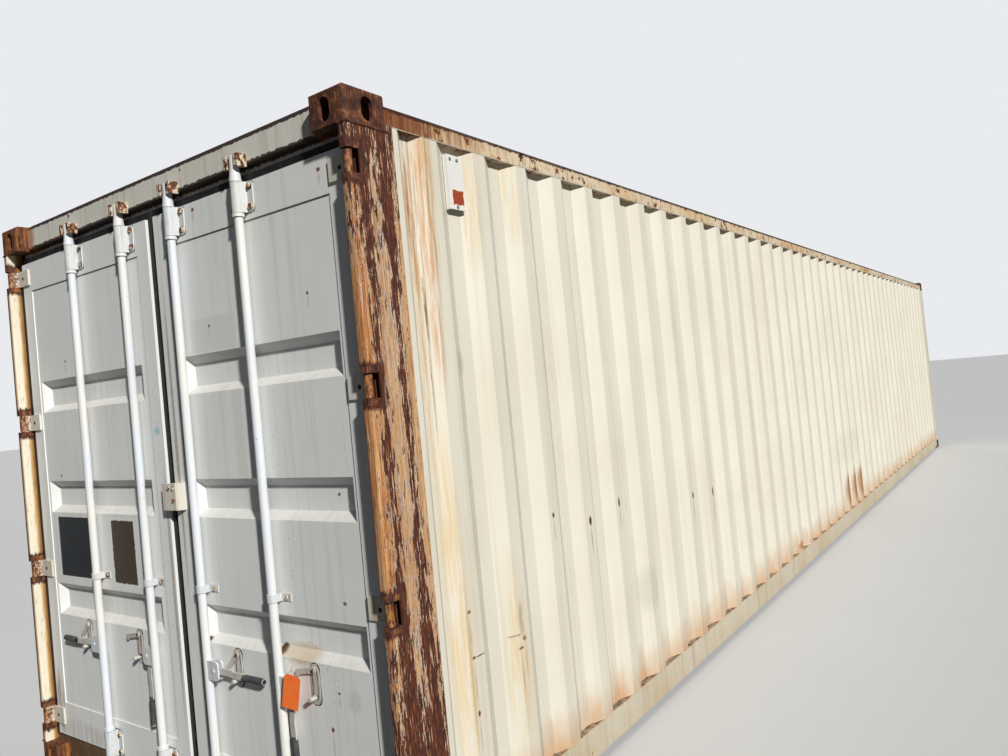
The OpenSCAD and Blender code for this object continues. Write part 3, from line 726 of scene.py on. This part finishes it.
@dataclass(frozen=True)
class FloorPly:
    """Marine plywood boards, worn by cargo: brown veneer grained lengthwise, with dark joints."""

    name: str = "marine_plywood"
    board: float = 1220.0

    def make(self) -> Material:
        """Build the material."""
        material, node, place = new_material(self.name)
        x, y, _ = node("SeparateXYZ", place).outputs
        stretch = (1 / (300 * MM), 1 / (12 * MM), 1 / (12 * MM))
        drawn = node("VectorMath:MULTIPLY", place, stretch)
        veneer = node("TexNoise", drawn, at=grain(UNIT, 6, 0.65))
        tones = {0.3: "#4A3120", 0.55: "#7A5636", 0.75: "#94704A"}
        colour: object = node("ValToRGB", veneer, stops=tones)
        for along, pitch in ((x, self.board), (y, self.board / 2)):
            turn = node("Math:MODULO", along, pitch * MM)
            near = node("Math:ABSOLUTE", turn)
            colour = layer(node, colour, "#1C130D", near, 0.004, 0.0025)
        surface(node, colour, 0.7, veneer, 0.3, 0.5)
        return material


def made(finish: WeatheredPaint | PeelingPost | ScaledRust | PlainFinish | FloorPly) -> Material:
    """Field of a dataclass that builds this finish with its object."""
    return field(default_factory=finish.make)


# Mesh builder


def circle(radius: float, sides: int) -> list[Pair]:
    """Points spread evenly round a circle."""
    turns = [math.tau * k / sides for k in range(sides)]
    return [(radius * math.cos(a), radius * math.sin(a)) for a in turns]


@dataclass
class Parts:
    """Collects small solids into one mesh, placed in millimetres."""

    mesh: bmesh.types.BMesh = field(default_factory=bmesh.new)

    def prism(self, outline: list[Pair], height: float, place: Matrix) -> None:
        """Extrude an outline in its local XY plane.

        Args:
            outline: corner points, anticlockwise.
            height: along local Z.
            place: from local millimetres to the frame's millimetres.
        """
        low = [self.mesh.verts.new(place @ Vector((x, y, 0)) * MM) for x, y in outline]
        top = [self.mesh.verts.new(place @ Vector((x, y, height)) * MM) for x, y in outline]
        self.mesh.faces.new(list(reversed(low)))
        self.mesh.faces.new(top)
        for i in range(len(outline)):
            j = (i + 1) % len(outline)
            self.mesh.faces.new((low[i], low[j], top[j], top[i]))

    def turned(self, profile: list[Pair], place: Matrix, sides: int = 20) -> None:
        """Turn a closed profile of radius and height about local Z.

        Args:
            profile: radius and height pairs from the bottom centre to the top centre.
            place: from local millimetres to the frame's millimetres.
            sides: flats round the axis.
        """
        rings = []
        for radius, height in profile:
            if radius < 1e-6:
                rings.append([self.mesh.verts.new(place @ Vector((0, 0, height)) * MM)])
                continue
            points = [place @ Vector((x, y, height)) for x, y in circle(radius, sides)]
            rings.append([self.mesh.verts.new(point * MM) for point in points])
        self.skin(rings, sides)

    def skin(self, rings: list[list[bmesh.types.BMVert]], sides: int) -> None:
        """Join each ring of points to the next; a ring of one point is a tip.

        Args:
            rings: the points.
            sides: flats round the skin.
        """
        for low, top in zip(rings, rings[1:]):
            for k in range(sides):
                j = (k + 1) % sides
                foot = [low[k % len(low)], low[j % len(low)]]
                corners = list(dict.fromkeys([*foot, top[j % len(top)], top[k % len(top)]]))
                if len(corners) > 2:
                    self.mesh.faces.new(corners)

    def tube(
        self, path: list[Vector], radius: float, sides: int = 10, wobble: float = 0.0, seed: int = 1
    ) -> None:
        """Sweep a round rod along a path.

        Args:
            path: points in the frame's millimetres.
            radius: of the rod.
            sides: flats round it.
            wobble: share by which the radius varies, for weld beads.
            seed: for that variation.
        """
        rng = random.Random(seed)
        rings = []
        for i, point in enumerate(path):
            ahead = path[min(i + 1, len(path) - 1)] - path[max(i - 1, 0)]
            turn = ahead.to_track_quat("Z", "Y")
            r = radius * (1 + wobble * (rng.random() - 0.5))
            points = [point + turn @ Vector((x, y, 0)) for x, y in circle(r, sides)]
            rings.append([self.mesh.verts.new(point * MM) for point in points])
        self.skin(rings, sides)
        self.mesh.faces.new(list(reversed(rings[0])))
        self.mesh.faces.new(rings[-1])

    def make(self, name: str, body: str, slot: str, finish: Material) -> bpy.types.Object:
        """Turn the collected solids into a piece that rides on a body.

        Args:
            name: the piece's name.
            body: the CAD body it moves with.
            slot: not used.
            finish: its material.

        Returns:
            The new object.
        """
        bmesh.ops.recalc_face_normals(self.mesh, faces=self.mesh.faces)
        data = bpy.data.meshes.new(name)
        self.mesh.to_mesh(data)
        self.mesh.free()
        data.materials.append(finish)
        piece = bpy.data.objects.new(name, data)
        bpy.context.scene.collection.objects.link(piece)
        data.shade_smooth()
        data.set_sharp_from_angle(angle=math.radians(35))
        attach(piece, body)
        LOG.info("piece %s on %s", name, body)
        return piece


def facing_out(depth: float, y: float, z: float) -> Matrix:
    """Place local Z toward the viewer of the doors, local X toward negative Y and local Y up.

    Args:
        depth: behind the door end plane, in millimetres.
        y: across, in millimetres.
        z: up, in millimetres.

    Returns:
        The placing matrix.
    """
    turn = Matrix(((0, 0, -1), (-1, 0, 0), (0, 1, 0))).to_4x4()
    return Matrix.Translation((END_X + depth, y, z)) @ turn


def rounded_ring(half_width: float, half_height: float, corner: float) -> list[Pair]:
    """Closed path round a rectangle with rounded corners, its first point given again at the end.

    Args:
        half_width: of the rectangle.
        half_height: of the rectangle.
        corner: radius of its corners.

    Returns:
        Points round the origin.
    """
    path = []
    for quarter, (sx, sy) in enumerate(((1, 1), (-1, 1), (-1, -1), (1, -1))):
        for k in range(7):
            a = math.radians(90 * quarter + 15 * k)
            x = sx * (half_width - corner) + corner * math.cos(a)
            y = sy * (half_height - corner) + corner * math.sin(a)
            path.append((x, y))
    return [*path, path[0]]


def at_depth(depth: float, y: float, z: float, ring: list[Pair]) -> list[Vector]:
    """Place a flat path behind the door end plane, round a point given by y and z."""
    return [Vector((END_X + depth, y + a, z + b)) for a, b in ring]


def bolt(parts: Parts, place: Matrix, across: float = 17.0, head: float = 6.5) -> None:
    """A hexagon head on a round washer.

    Args:
        parts: the mesh being built.
        place: the seat, local Z pointing out.
        across: width across the flats.
        head: height of the head.
    """
    parts.turned([(0, 0), (across * 0.72, 0), (across * 0.72, 1.6), (0, 1.6)], place)
    hexagon = circle(across / math.sqrt(3), 6)
    parts.prism(hexagon, head, place @ Matrix.Translation((0, 0, 1.6)))


# Sub-assemblies


@dataclass
class Finishes:
    """Every material of the container, made once."""

    side: Material = made(WeatheredPaint(
        "side_wall_paint", "#E8E3D4", "#E0DAC9", "#C8B894", streaks=0.4, chips=0.03,
        low_dirt=0.75, low_dirt_top=250, marks=SIDE_MARKS,
    ))
    end: Material = made(WeatheredPaint(
        "end_frame_paint", "#DDD8CA", "#CFC7B2", "#9A6B42", streaks=0.6, chips=0.45,
        chip_size=30,
    ))
    header: Material = made(WeatheredPaint(
        "header_paint", "#E9E7DC", "#DEDBCD", "#A98A62", streaks=0.5, chips=0.12, chip_size=26,
        face=Face.DOOR_END, marks=HEADER_MARKS,
    ))
    door: Material = made(WeatheredPaint(
        "door_paint", "#F2F3F0", "#EAEBE8", "#C4BFAE", streaks=0.42, chips=0.05, chip_size=14,
        ledge_dust=0.22, face=Face.DOOR_END, marks=DOOR_MARKS,
    ))
    gear: Material = made(WeatheredPaint(
        "gear_paint", "#DFE5EC", "#EAE5D8", "#A3978A", streaks=0.5, chips=0.3, chip_size=11,
    ))
    bracket: Material = made(WeatheredPaint(
        "bracket_paint", "#D2D7D9", "#DAD8D1", "#8D8578", streaks=0.6, chips=0.4, chip_size=8,
        streak_size=(8.0, 60.0),
    ))
    worn: Material = made(WeatheredPaint(
        "worn_zinc", "#D6D3CC", "#B9B2A8", "#5F4B3C", streaks=0.7, chips=0.5, chip_size=9,
        streak_size=(9.0, 40.0),
    ))
    blade: Material = made(WeatheredPaint(
        "hinge_blade_paint", "#E4E0D4", "#D5CFBE", "#B98B58", streaks=0.7, chips=0.45,
        chip_size=12, rust_outside=1176,
    ))
    vent: Material = made(WeatheredPaint(
        "vent_paint", "#EFEFEC", "#E8E8E3", "#C9BFA8", streaks=0.2, chips=0.05, chip_size=12,
        marks=VENT_MARKS,
    ))
    rail: Material = made(WeatheredPaint(
        "top_rail_paint", "#E6DAC0", "#D6B384", "#8A4E2A", streaks=0.95, chips=0.8, chip_size=40,
        streak_size=(13.0, 85.0), marks=RAIL_MARKS,
    ))
    sill: Material = made(WeatheredPaint(
        "base_rail_paint", "#D9D1BD", "#CCC0A4", "#8F6B43", streaks=0.5, chips=0.3, chip_size=34,
        low_dirt=0.3, low_dirt_top=60, ledge_dust=1.0, ledge_colour="#5E4632",
    ))
    # Painted shade: the door sill is dark brown for its dirt and for the shade that lies on it.
    threshold: Material = made(WeatheredPaint(
        "door_sill_dirt_and_painted_shade", "#6E5B43", "#574432", "#2E2119", streaks=0.7, chips=0.7, chip_size=30,
        streak_size=(60.0, 60.0),
    ))
    roof: Material = made(WeatheredPaint(
        "roof_paint", "#E2DBC8", "#D2C8B0", "#A98A5E", streaks=0.3, chips=0.3, chip_size=40,
    ))
    post: Material = made(PeelingPost())
    casting: Material = made(ScaledRust("casting_scale", "#B9A88C", golden=0.8))
    keeper: Material = made(ScaledRust("keeper_scale", "#DDD2B9", 0.52, patch=(17.0, 24.0)))
    rubber: Material = made(PlainFinish("moulded_seal_rubber", "#141517", "#2B2A28", 0.62))
    ply: Material = made(FloorPly())
    zinc: Material = made(PlainFinish("zinc_plated_steel", "#B9B7B2", "#7A6A58", 0.45, 0.8, 2.0))
    grip: Material = made(PlainFinish("moulded_grip", "#3A3E42", "#5A5850", 0.7))
    tag: Material = made(PlainFinish("spun_polyester_tag", "#FF8038", "#FF7028", 0.55))


@dataclass
class FixedFrame:
    """Posts, rails, walls, roof and floor: the body that everything else hangs on.

    Attributes:
        body: the CAD body that it is.
        seam_y: where the long walls are welded to their rails, from the middle.
        seam_z: heights of those two seams.
        seam_stops: how far they stop before the door end and before the blank end.
        bead_step: spacing of a seam's points.
        header_end: where the header is welded to the posts, from the middle.
        vents: turn and place along the container of each vent.
        vent_screws: shift along the wall and height of each screw of a vent.
        vent_face: where the vents' face lies, from the middle.
    """

    body: str = "container"
    seam_y: float = 1212.5
    seam_z: Pair = (149, 2494)
    seam_stops: tuple[int, int] = (215, 181)
    bead_step: int = 12
    header_end: float = 1057
    vents: tuple[Pair, Pair] = ((0, -5552), (math.pi, 5528))
    vent_screws: tuple[Pair, ...] = ((-26, 2447), (14, 2447), (-4, 2272))
    vent_face: float = 1203

    def dress(self, nodes: Nodes, looks: Finishes) -> None:
        """Give each solid of the frame its finish.

        Args:
            nodes: the CAD nodes by name.
            looks: the materials.
        """
        for finish, names in (
            (looks.casting, ("corner_castings_top", "corner_castings_bottom", "hinge_pins")),
            (looks.post, ("rear_posts",)),
            (looks.keeper, ("cam_keepers",)),
            (looks.end, ("front_posts", "front_top_rail")),
            (looks.header, ("door_header",)),
            (looks.threshold, ("door_sill",)),
            (looks.sill, ("front_bottom_rail", "bottom_side_rails")),
            (looks.sill, ("cross_members", "gooseneck_tunnel")),
            (looks.side, ("front_wall", "side_walls")),
            (looks.rail, ("top_side_rails",)),
            (looks.roof, ("roof", "roof_plates")),
            (looks.ply, ("floor_boards",)),
            (looks.vent, ("vents",)),
        ):
            for name in names:
                put_on(nodes[name], finish)

    def build(self, looks: Finishes) -> None:
        """Add the weld beads of walls, posts and castings, and the vent screws.

        Args:
            looks: the materials.
        """
        beads = Parts()
        first, last = self.seam_stops
        run = range(int(END_X) + first, -int(END_X) - last, self.bead_step)
        for side in (-1, 1):
            for z in self.seam_z:
                path = [Vector((x, side * self.seam_y, z)) for x in run]
                beads.tube(path, radius=2.4, sides=6, wobble=0.5, seed=7)
        beads.make("seam_beads", self.body, "wall_paint", looks.side)
        welds = Parts()
        for side in (-1, 1):
            for low in (CASTING + 2, HEIGHT - CASTING - 2):
                y = side * (WIDTH / 2 - 2.5)
                along = [Vector((END_X + 5 + d, y, low)) for d in range(0, 204, 6)]
                welds.tube(along, radius=5, sides=8, wobble=0.5, seed=3)
                y = WIDTH / 2 - 6
                face = [Vector((END_X + 3, side * (y - d), low)) for d in range(0, 34, 5)]
                welds.tube(face, radius=5, sides=8, wobble=0.5, seed=4)
            y = side * self.header_end
            joint = [Vector((END_X + 50, y, z)) for z in range(2482, 2584, 6)]
            welds.tube(joint, radius=4, sides=8, wobble=0.5, seed=5)
        welds.make("casting_welds", self.body, "frame_paint", looks.casting)
        screws = Parts()
        for turn, x in self.vents:
            seat = Matrix.Rotation(turn, 4, "Z")
            for dx, z in self.vent_screws:
                place = Matrix.Translation((x + (dx if turn == 0 else -dx), 0, z)) @ seat
                out = Matrix.Translation((0, -self.vent_face, 0))
                out = out @ Matrix.Rotation(math.pi / 2, 4, "X")
                screws.turned(SCREW, place @ out)
        screws.make("vent_screws", self.body, "gear_paint", looks.zinc)


@dataclass
class Door:
    """One door leaf with its hinges, seal, bearings and catches.

    Attributes:
        side: "left" or "right", for someone who faces the doors.
        sign: of its Y coordinates.
        bars: the numbers of its lock bars.
        bearing_bolts: half spacing of a bearing's bolts, across and up.
        sealant_margin: how far the sealant lies outside a bearing.
        sealant_back: how far it lies behind the frame, clear of the bars' collars.
        guide_bolt: a guide's bolt, beside its bar and up.
        catch_shade_rings: black rings of painted shade round a catch plate and round its slot, each
        with its lift, its half width, half height and corner, its radius and its wobble.
        catch_bolt: height of the catch plate's bolt from its middle.
        catch_rivet: height of its rivet from its middle.
        centre_bolts: places of the bolts of the centre catch.
        hinge_hole: how far the hole in a hinge blade lies from the pin.
    """

    side: str
    sign: int
    bars: tuple[int, int]
    bearing_bolts: Pair = (49, 36)
    sealant_margin: float = 1.5
    sealant_back: float = 1.2
    guide_bolt: Pair = (51, 944)
    catch_shade_rings: tuple = ((0, (23, 71, 23), 2.8, 0.7), (4, (13, 52, 13), 1.4, 0.0))
    catch_bolt: float = -40
    catch_rivet: float = 49
    centre_bolts: tuple[Pair, ...] = ((-58, 1332), (-28, 1332), (-58, 1284))
    hinge_hole: float = 66

    def dress(self, nodes: Nodes, looks: Finishes) -> None:
        """Give each solid of the door its finish.

        Args:
            nodes: the CAD nodes by name.
            looks: the materials.
        """
        for part, material in {
            "frame": looks.door,
            "panel": looks.door,
            "gasket": looks.rubber,
            "hinge_blades": looks.blade,
            "brackets": looks.bracket,
            "catches": looks.worn,
        }.items():
            put_on(nodes[f"{self.side}_{part}"], material)

    def build(self, looks: Finishes) -> None:
        """Add bolts and rivets of bearings, guides and catches, sealant round the bearings, and
        painted
        shade: black rings round the catch plates and their slots, and black discs for the hinge
        holes.

        Args:
            looks: the materials.
        """
        body = f"door_{self.side}"
        bolts = Parts()
        # Black rubber: sealant round the bearings, and painted shade round the catches and in the
        # hinge holes.
        sealant = Parts()
        for bar in self.bars:
            y = BARS[bar]
            for z in BEARING_Z:
                for dy, dz in product(*((-half, half) for half in self.bearing_bolts)):
                    bolt(bolts, facing_out(FRAME_DEPTH - 4, y + dy, z + dz))
                half = [size / 2 + self.sealant_margin for size in BEARING_SIZE]
                ring = at_depth(FRAME_DEPTH + self.sealant_back, y, z, rounded_ring(*half, 13))
                sealant.tube(ring, radius=2.2, sides=6, wobble=0.7)
            beside, up = self.guide_bolt
            bolt(bolts, facing_out(PANEL_DEPTH - 3, y - beside, up), across=14, head=5)
            y += self.sign * CATCH_OFFSET
            # Painted shade: black rings round the catch plate and its slot stand for the dark of
            # their rims.
            for lift, size, radius, wobble in self.catch_shade_rings:
                ring = at_depth(PANEL_DEPTH - lift, y, CATCH_MIDDLE, rounded_ring(*size))
                sealant.tube(ring, radius, 6, wobble)
            seat = facing_out(PANEL_DEPTH - 4, y, CATCH_MIDDLE + self.catch_bolt)
            bolt(bolts, seat, across=13, head=5)
            bolts.turned(RIVET, facing_out(PANEL_DEPTH - 13, y, CATCH_MIDDLE + self.catch_rivet))
        if self.side == "right":
            for y, z in self.centre_bolts:
                bolt(bolts, facing_out(24, y, z), across=12, head=4)
        bolts.make(f"{self.side}_door_bolts", body, "gear_paint", looks.keeper)
        # Painted shade: a black disc on each hinge blade stands for the dark inside its hole.
        for z in HINGE_Z:
            y = self.sign * (WIDTH / 2 - HINGE_FROM_SIDE - self.hinge_hole)
            sealant.turned([(0, 0), (8, 0), (7, 1), (0, 1)], facing_out(FRAME_DEPTH - 8, y, z))
        sealant.make(f"{self.side}_door_sealant_and_shade", body, "seal_rubber", looks.rubber)


@dataclass
class LockGear:
    """A lock bar with its handle and hasp.

    Attributes:
        number: of the bar, from the left.
        hangs: whether its handle hangs down beside it.
        tagged: whether the blank tag hangs on its hasp.
        rib: pitch of the grip's ribs.
        rib_radii: of the grip, on a rib and between two.
        tag_size: width and height of the tag, and its cut corner.
        tag_top: middle of the tag's top edge, from the door end plane, the bar and the handle.
        tag_lean: how far the tag leans and turns, in degrees.
        tag_hook: where its loop holds on to the hasp, measured as tag_top is.
        loop_radius: of the wire that holds the tag.
    """

    number: int
    hangs: bool
    tagged: bool = False
    rib: int = 6
    rib_radii: Pair = (12.0, 11.2)
    tag_size: tuple[float, float, float] = (66, 122, 10)
    tag_top: tuple[float, float, float] = (11, -98, 54)
    tag_lean: Pair = (14, 16)
    tag_hook: tuple[float, float, float] = (44, -68, 76)
    loop_radius: float = 0.9

    def dress(self, nodes: Nodes, looks: Finishes) -> None:
        """Give the bar, handle and hasp their finish.

        Args:
            nodes: the CAD nodes by name.
            looks: the materials.
        """
        put_on(nodes[f"lock_bar_{self.number}"], looks.gear)
        for part in ("handle", "hasp"):
            put_on(nodes[f"{part}_{self.number}"], looks.worn)

    def build(self, looks: Finishes) -> None:
        """Slide a ribbed grip over the end of the handle.

        Args:
            looks: the materials.
        """
        y = BARS[self.number]
        outward = 1 if y > 0 else -1
        pivot = Vector((END_X + BAR_DEPTH, y + outward * PIVOT_OFFSET, HANDLE_Z))
        tilt = math.radians(-88 if self.hangs else 0)
        along = Vector((0, outward * math.cos(tilt), math.sin(tilt)))
        across = Vector((0, -outward * math.sin(tilt), math.cos(tilt)))
        out, between = self.rib_radii
        profile = [(0, 0), (11.6, 0)]
        for low in range(0, (GRIP_LENGTH - 12) // self.rib * self.rib, self.rib):
            profile += [(out, 3 + low), (out, 6 + low)]
            profile += [(between, 6.6 + low), (between, 8.4 + low)]
        profile += [(out, GRIP_LENGTH - 4), (9.0, GRIP_LENGTH), (0, GRIP_LENGTH)]
        start = pivot + along * (HANDLE_LENGTH - GRIP_LENGTH) - across * 4 + Vector((1, 0, 0))
        turn = along.to_track_quat("Z", "Y").to_matrix().to_4x4()
        grip = Parts()
        grip.turned(profile, Matrix.Translation(start) @ turn)
        grip.make(f"grip_{self.number}", f"handle_{self.number}", "gear_paint", looks.grip)
        if self.tagged:
            self.hang_tag(looks)

    def hang_tag(self, looks: Finishes) -> None:
        """Hang a blank shipping tag by a thin loop from the end of the hasp.

        Args:
            looks: the materials.
        """
        width, tall, corner = self.tag_size
        start = Vector((END_X, BARS[self.number], HANDLE_Z))
        top = start + Vector(self.tag_top)
        tilt, twist = (math.radians(angle) for angle in self.tag_lean)
        lean = Matrix.Rotation(tilt, 4, "X") @ Matrix.Rotation(twist, 4, "Z")
        seat = Matrix.Translation(top) @ lean @ facing_out(-END_X, 0, 0)
        tag = Parts()
        outline = [(-width / 2, -tall), (width / 2, -tall), (width / 2, -corner)]
        outline += [(width / 2 - corner, 0), (corner - width / 2, 0), (-width / 2, -corner)]
        tag.prism(outline, 0.8, seat)
        hook = start + Vector(self.tag_hook)
        eye = top + Vector((-1, 2, -9))
        bend = (hook + eye) / 2 + Vector((-6, 0, 9))
        back = [eye + Vector((3, 0, 2)), bend + Vector((2, 6, -5)), hook]
        tag.tube([hook, bend, eye, *back], self.loop_radius, 6)
        tag.make("blank_tag", f"hasp_{self.number}", "gear_paint", looks.tag)


@dataclass
class Studio:
    """Pale floor, soft light and the camera at the photograph's place.

    Attributes:
        lens: focal length, in millimetres.
        shift: of the lens, in shares of the picture's width.
        place: of the camera, in metres.
        yaw: turn from the X axis, in degrees.
        pitch: upward, in degrees.
        roll: about the line of sight, in degrees.
        tint: linear colour of the lamps.
    """

    lens: float = 27.7345
    shift: Pair = (-0.00481, -0.01046)
    place: tuple[float, float, float] = (-7.7766, -2.9431, 1.6077)
    yaw: float = 35.447
    pitch: float = 1.3175
    roll: float = -5.515
    tint: tuple[float, float, float] = (1.0, 0.985, 0.955)

    def camera(self) -> None:
        """Create the camera and make it the scene's."""
        data = bpy.data.cameras.new("photo_camera")
        data.lens = self.lens
        data.shift_x, data.shift_y = self.shift
        data.sensor_width = 36.0
        a, e, r = (math.radians(v) for v in (self.yaw, self.pitch, self.roll))
        ahead = Vector((math.cos(a) * math.cos(e), math.sin(a) * math.cos(e), math.sin(e)))
        level = Vector((math.sin(a), -math.cos(a), 0))
        above = level.cross(ahead)
        right = math.cos(r) * level + math.sin(r) * above
        up = -math.sin(r) * level + math.cos(r) * above
        turn = Matrix((right, up, -ahead)).transposed().to_4x4()
        camera = bpy.data.objects.new("photo_camera", data)
        camera.matrix_world = Matrix.Translation(self.place) @ turn
        bpy.context.scene.collection.objects.link(camera)
        bpy.context.scene.camera = camera

    def light(self) -> None:
        """A key from the long side, a soft fill for the far sides and a pale grey backdrop."""
        for name, toward, energy, spread in (
            ("key", (-0.43, -0.90, 0.56), 3.75, 3),
            ("far_fill", (0.62, 0.70, 0.22), 1.3, 40),
        ):
            sun = bpy.data.lights.new(name, "SUN")
            sun.energy = energy
            sun.angle = math.radians(spread)
            sun.color = self.tint
            lamp = bpy.data.objects.new(name, sun)
            lamp.rotation_euler = Vector(toward).to_track_quat("Z", "Y").to_euler()
            bpy.context.scene.collection.objects.link(lamp)
        world = bpy.data.worlds.new("studio_sky")
        world.use_nodes = True
        world.node_tree.nodes.clear()
        node = partial(add, world.node_tree)
        sky = node("Background", "#DCE6F6", 0.085)
        seen = node("Background", "#E9EBEE", 1.0)
        ray = node("LightPath")
        mixed = node("MixShader", ray.outputs["Is Camera Ray"], sky, seen)
        node("OutputWorld", mixed)
        bpy.context.scene.world = world

    def floor(self) -> None:
        """A wide pale floor that keeps the container's shadow."""
        bpy.ops.mesh.primitive_plane_add(size=160)
        plane = bpy.context.object
        plane.name = "studio_floor"
        material, node, place = new_material("studio_floor")
        cloud = node("TexNoise", place, at={"Scale": 2.0, "Detail": 4.0})
        seen = node("MixRGB", cloud, "#DEDFE0", "#D9DADC")
        ray = node("LightPath")
        colour = node("MixRGB", ray.outputs["Is Camera Ray"], "#4A4A4C", seen)
        shader = node("BsdfPrincipled", at={"Base Color": colour, "Roughness": 0.9})
        node("OutputMaterial", shader)
        plane.data.materials.append(material)


def put_on(node: bpy.types.Object, material: Material) -> None:
    """Replace a solid's material.

    Args:
        node: a CAD node.
        material: its new finish.
    """
    node.data.materials.clear()
    node.data.materials.append(material)
    LOG.info("finish %s on %s", material.name, node.name)


def main() -> None:
    """Build every sub-assembly in order and report each piece."""
    logging.basicConfig(level=logging.INFO, format="%(message)s")
    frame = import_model()
    bpy.context.scene.view_settings.view_transform = "Standard"
    studio = Studio()
    studio.camera()
    studio.light()
    studio.floor()
    looks = Finishes()
    assemblies = [
        FixedFrame(),
        Door("left", 1, (1, 2)),
        Door("right", -1, (3, 4)),
        *(LockGear(number, number in (2, 4), number == 4) for number in BARS),
    ]
    for assembly in assemblies:
        assembly.dress(frame["nodes"], looks)
        assembly.build(looks)
    put_on(frame["nodes"]["centre_catch"], looks.blade)


if __name__ == "__main__":
    main()
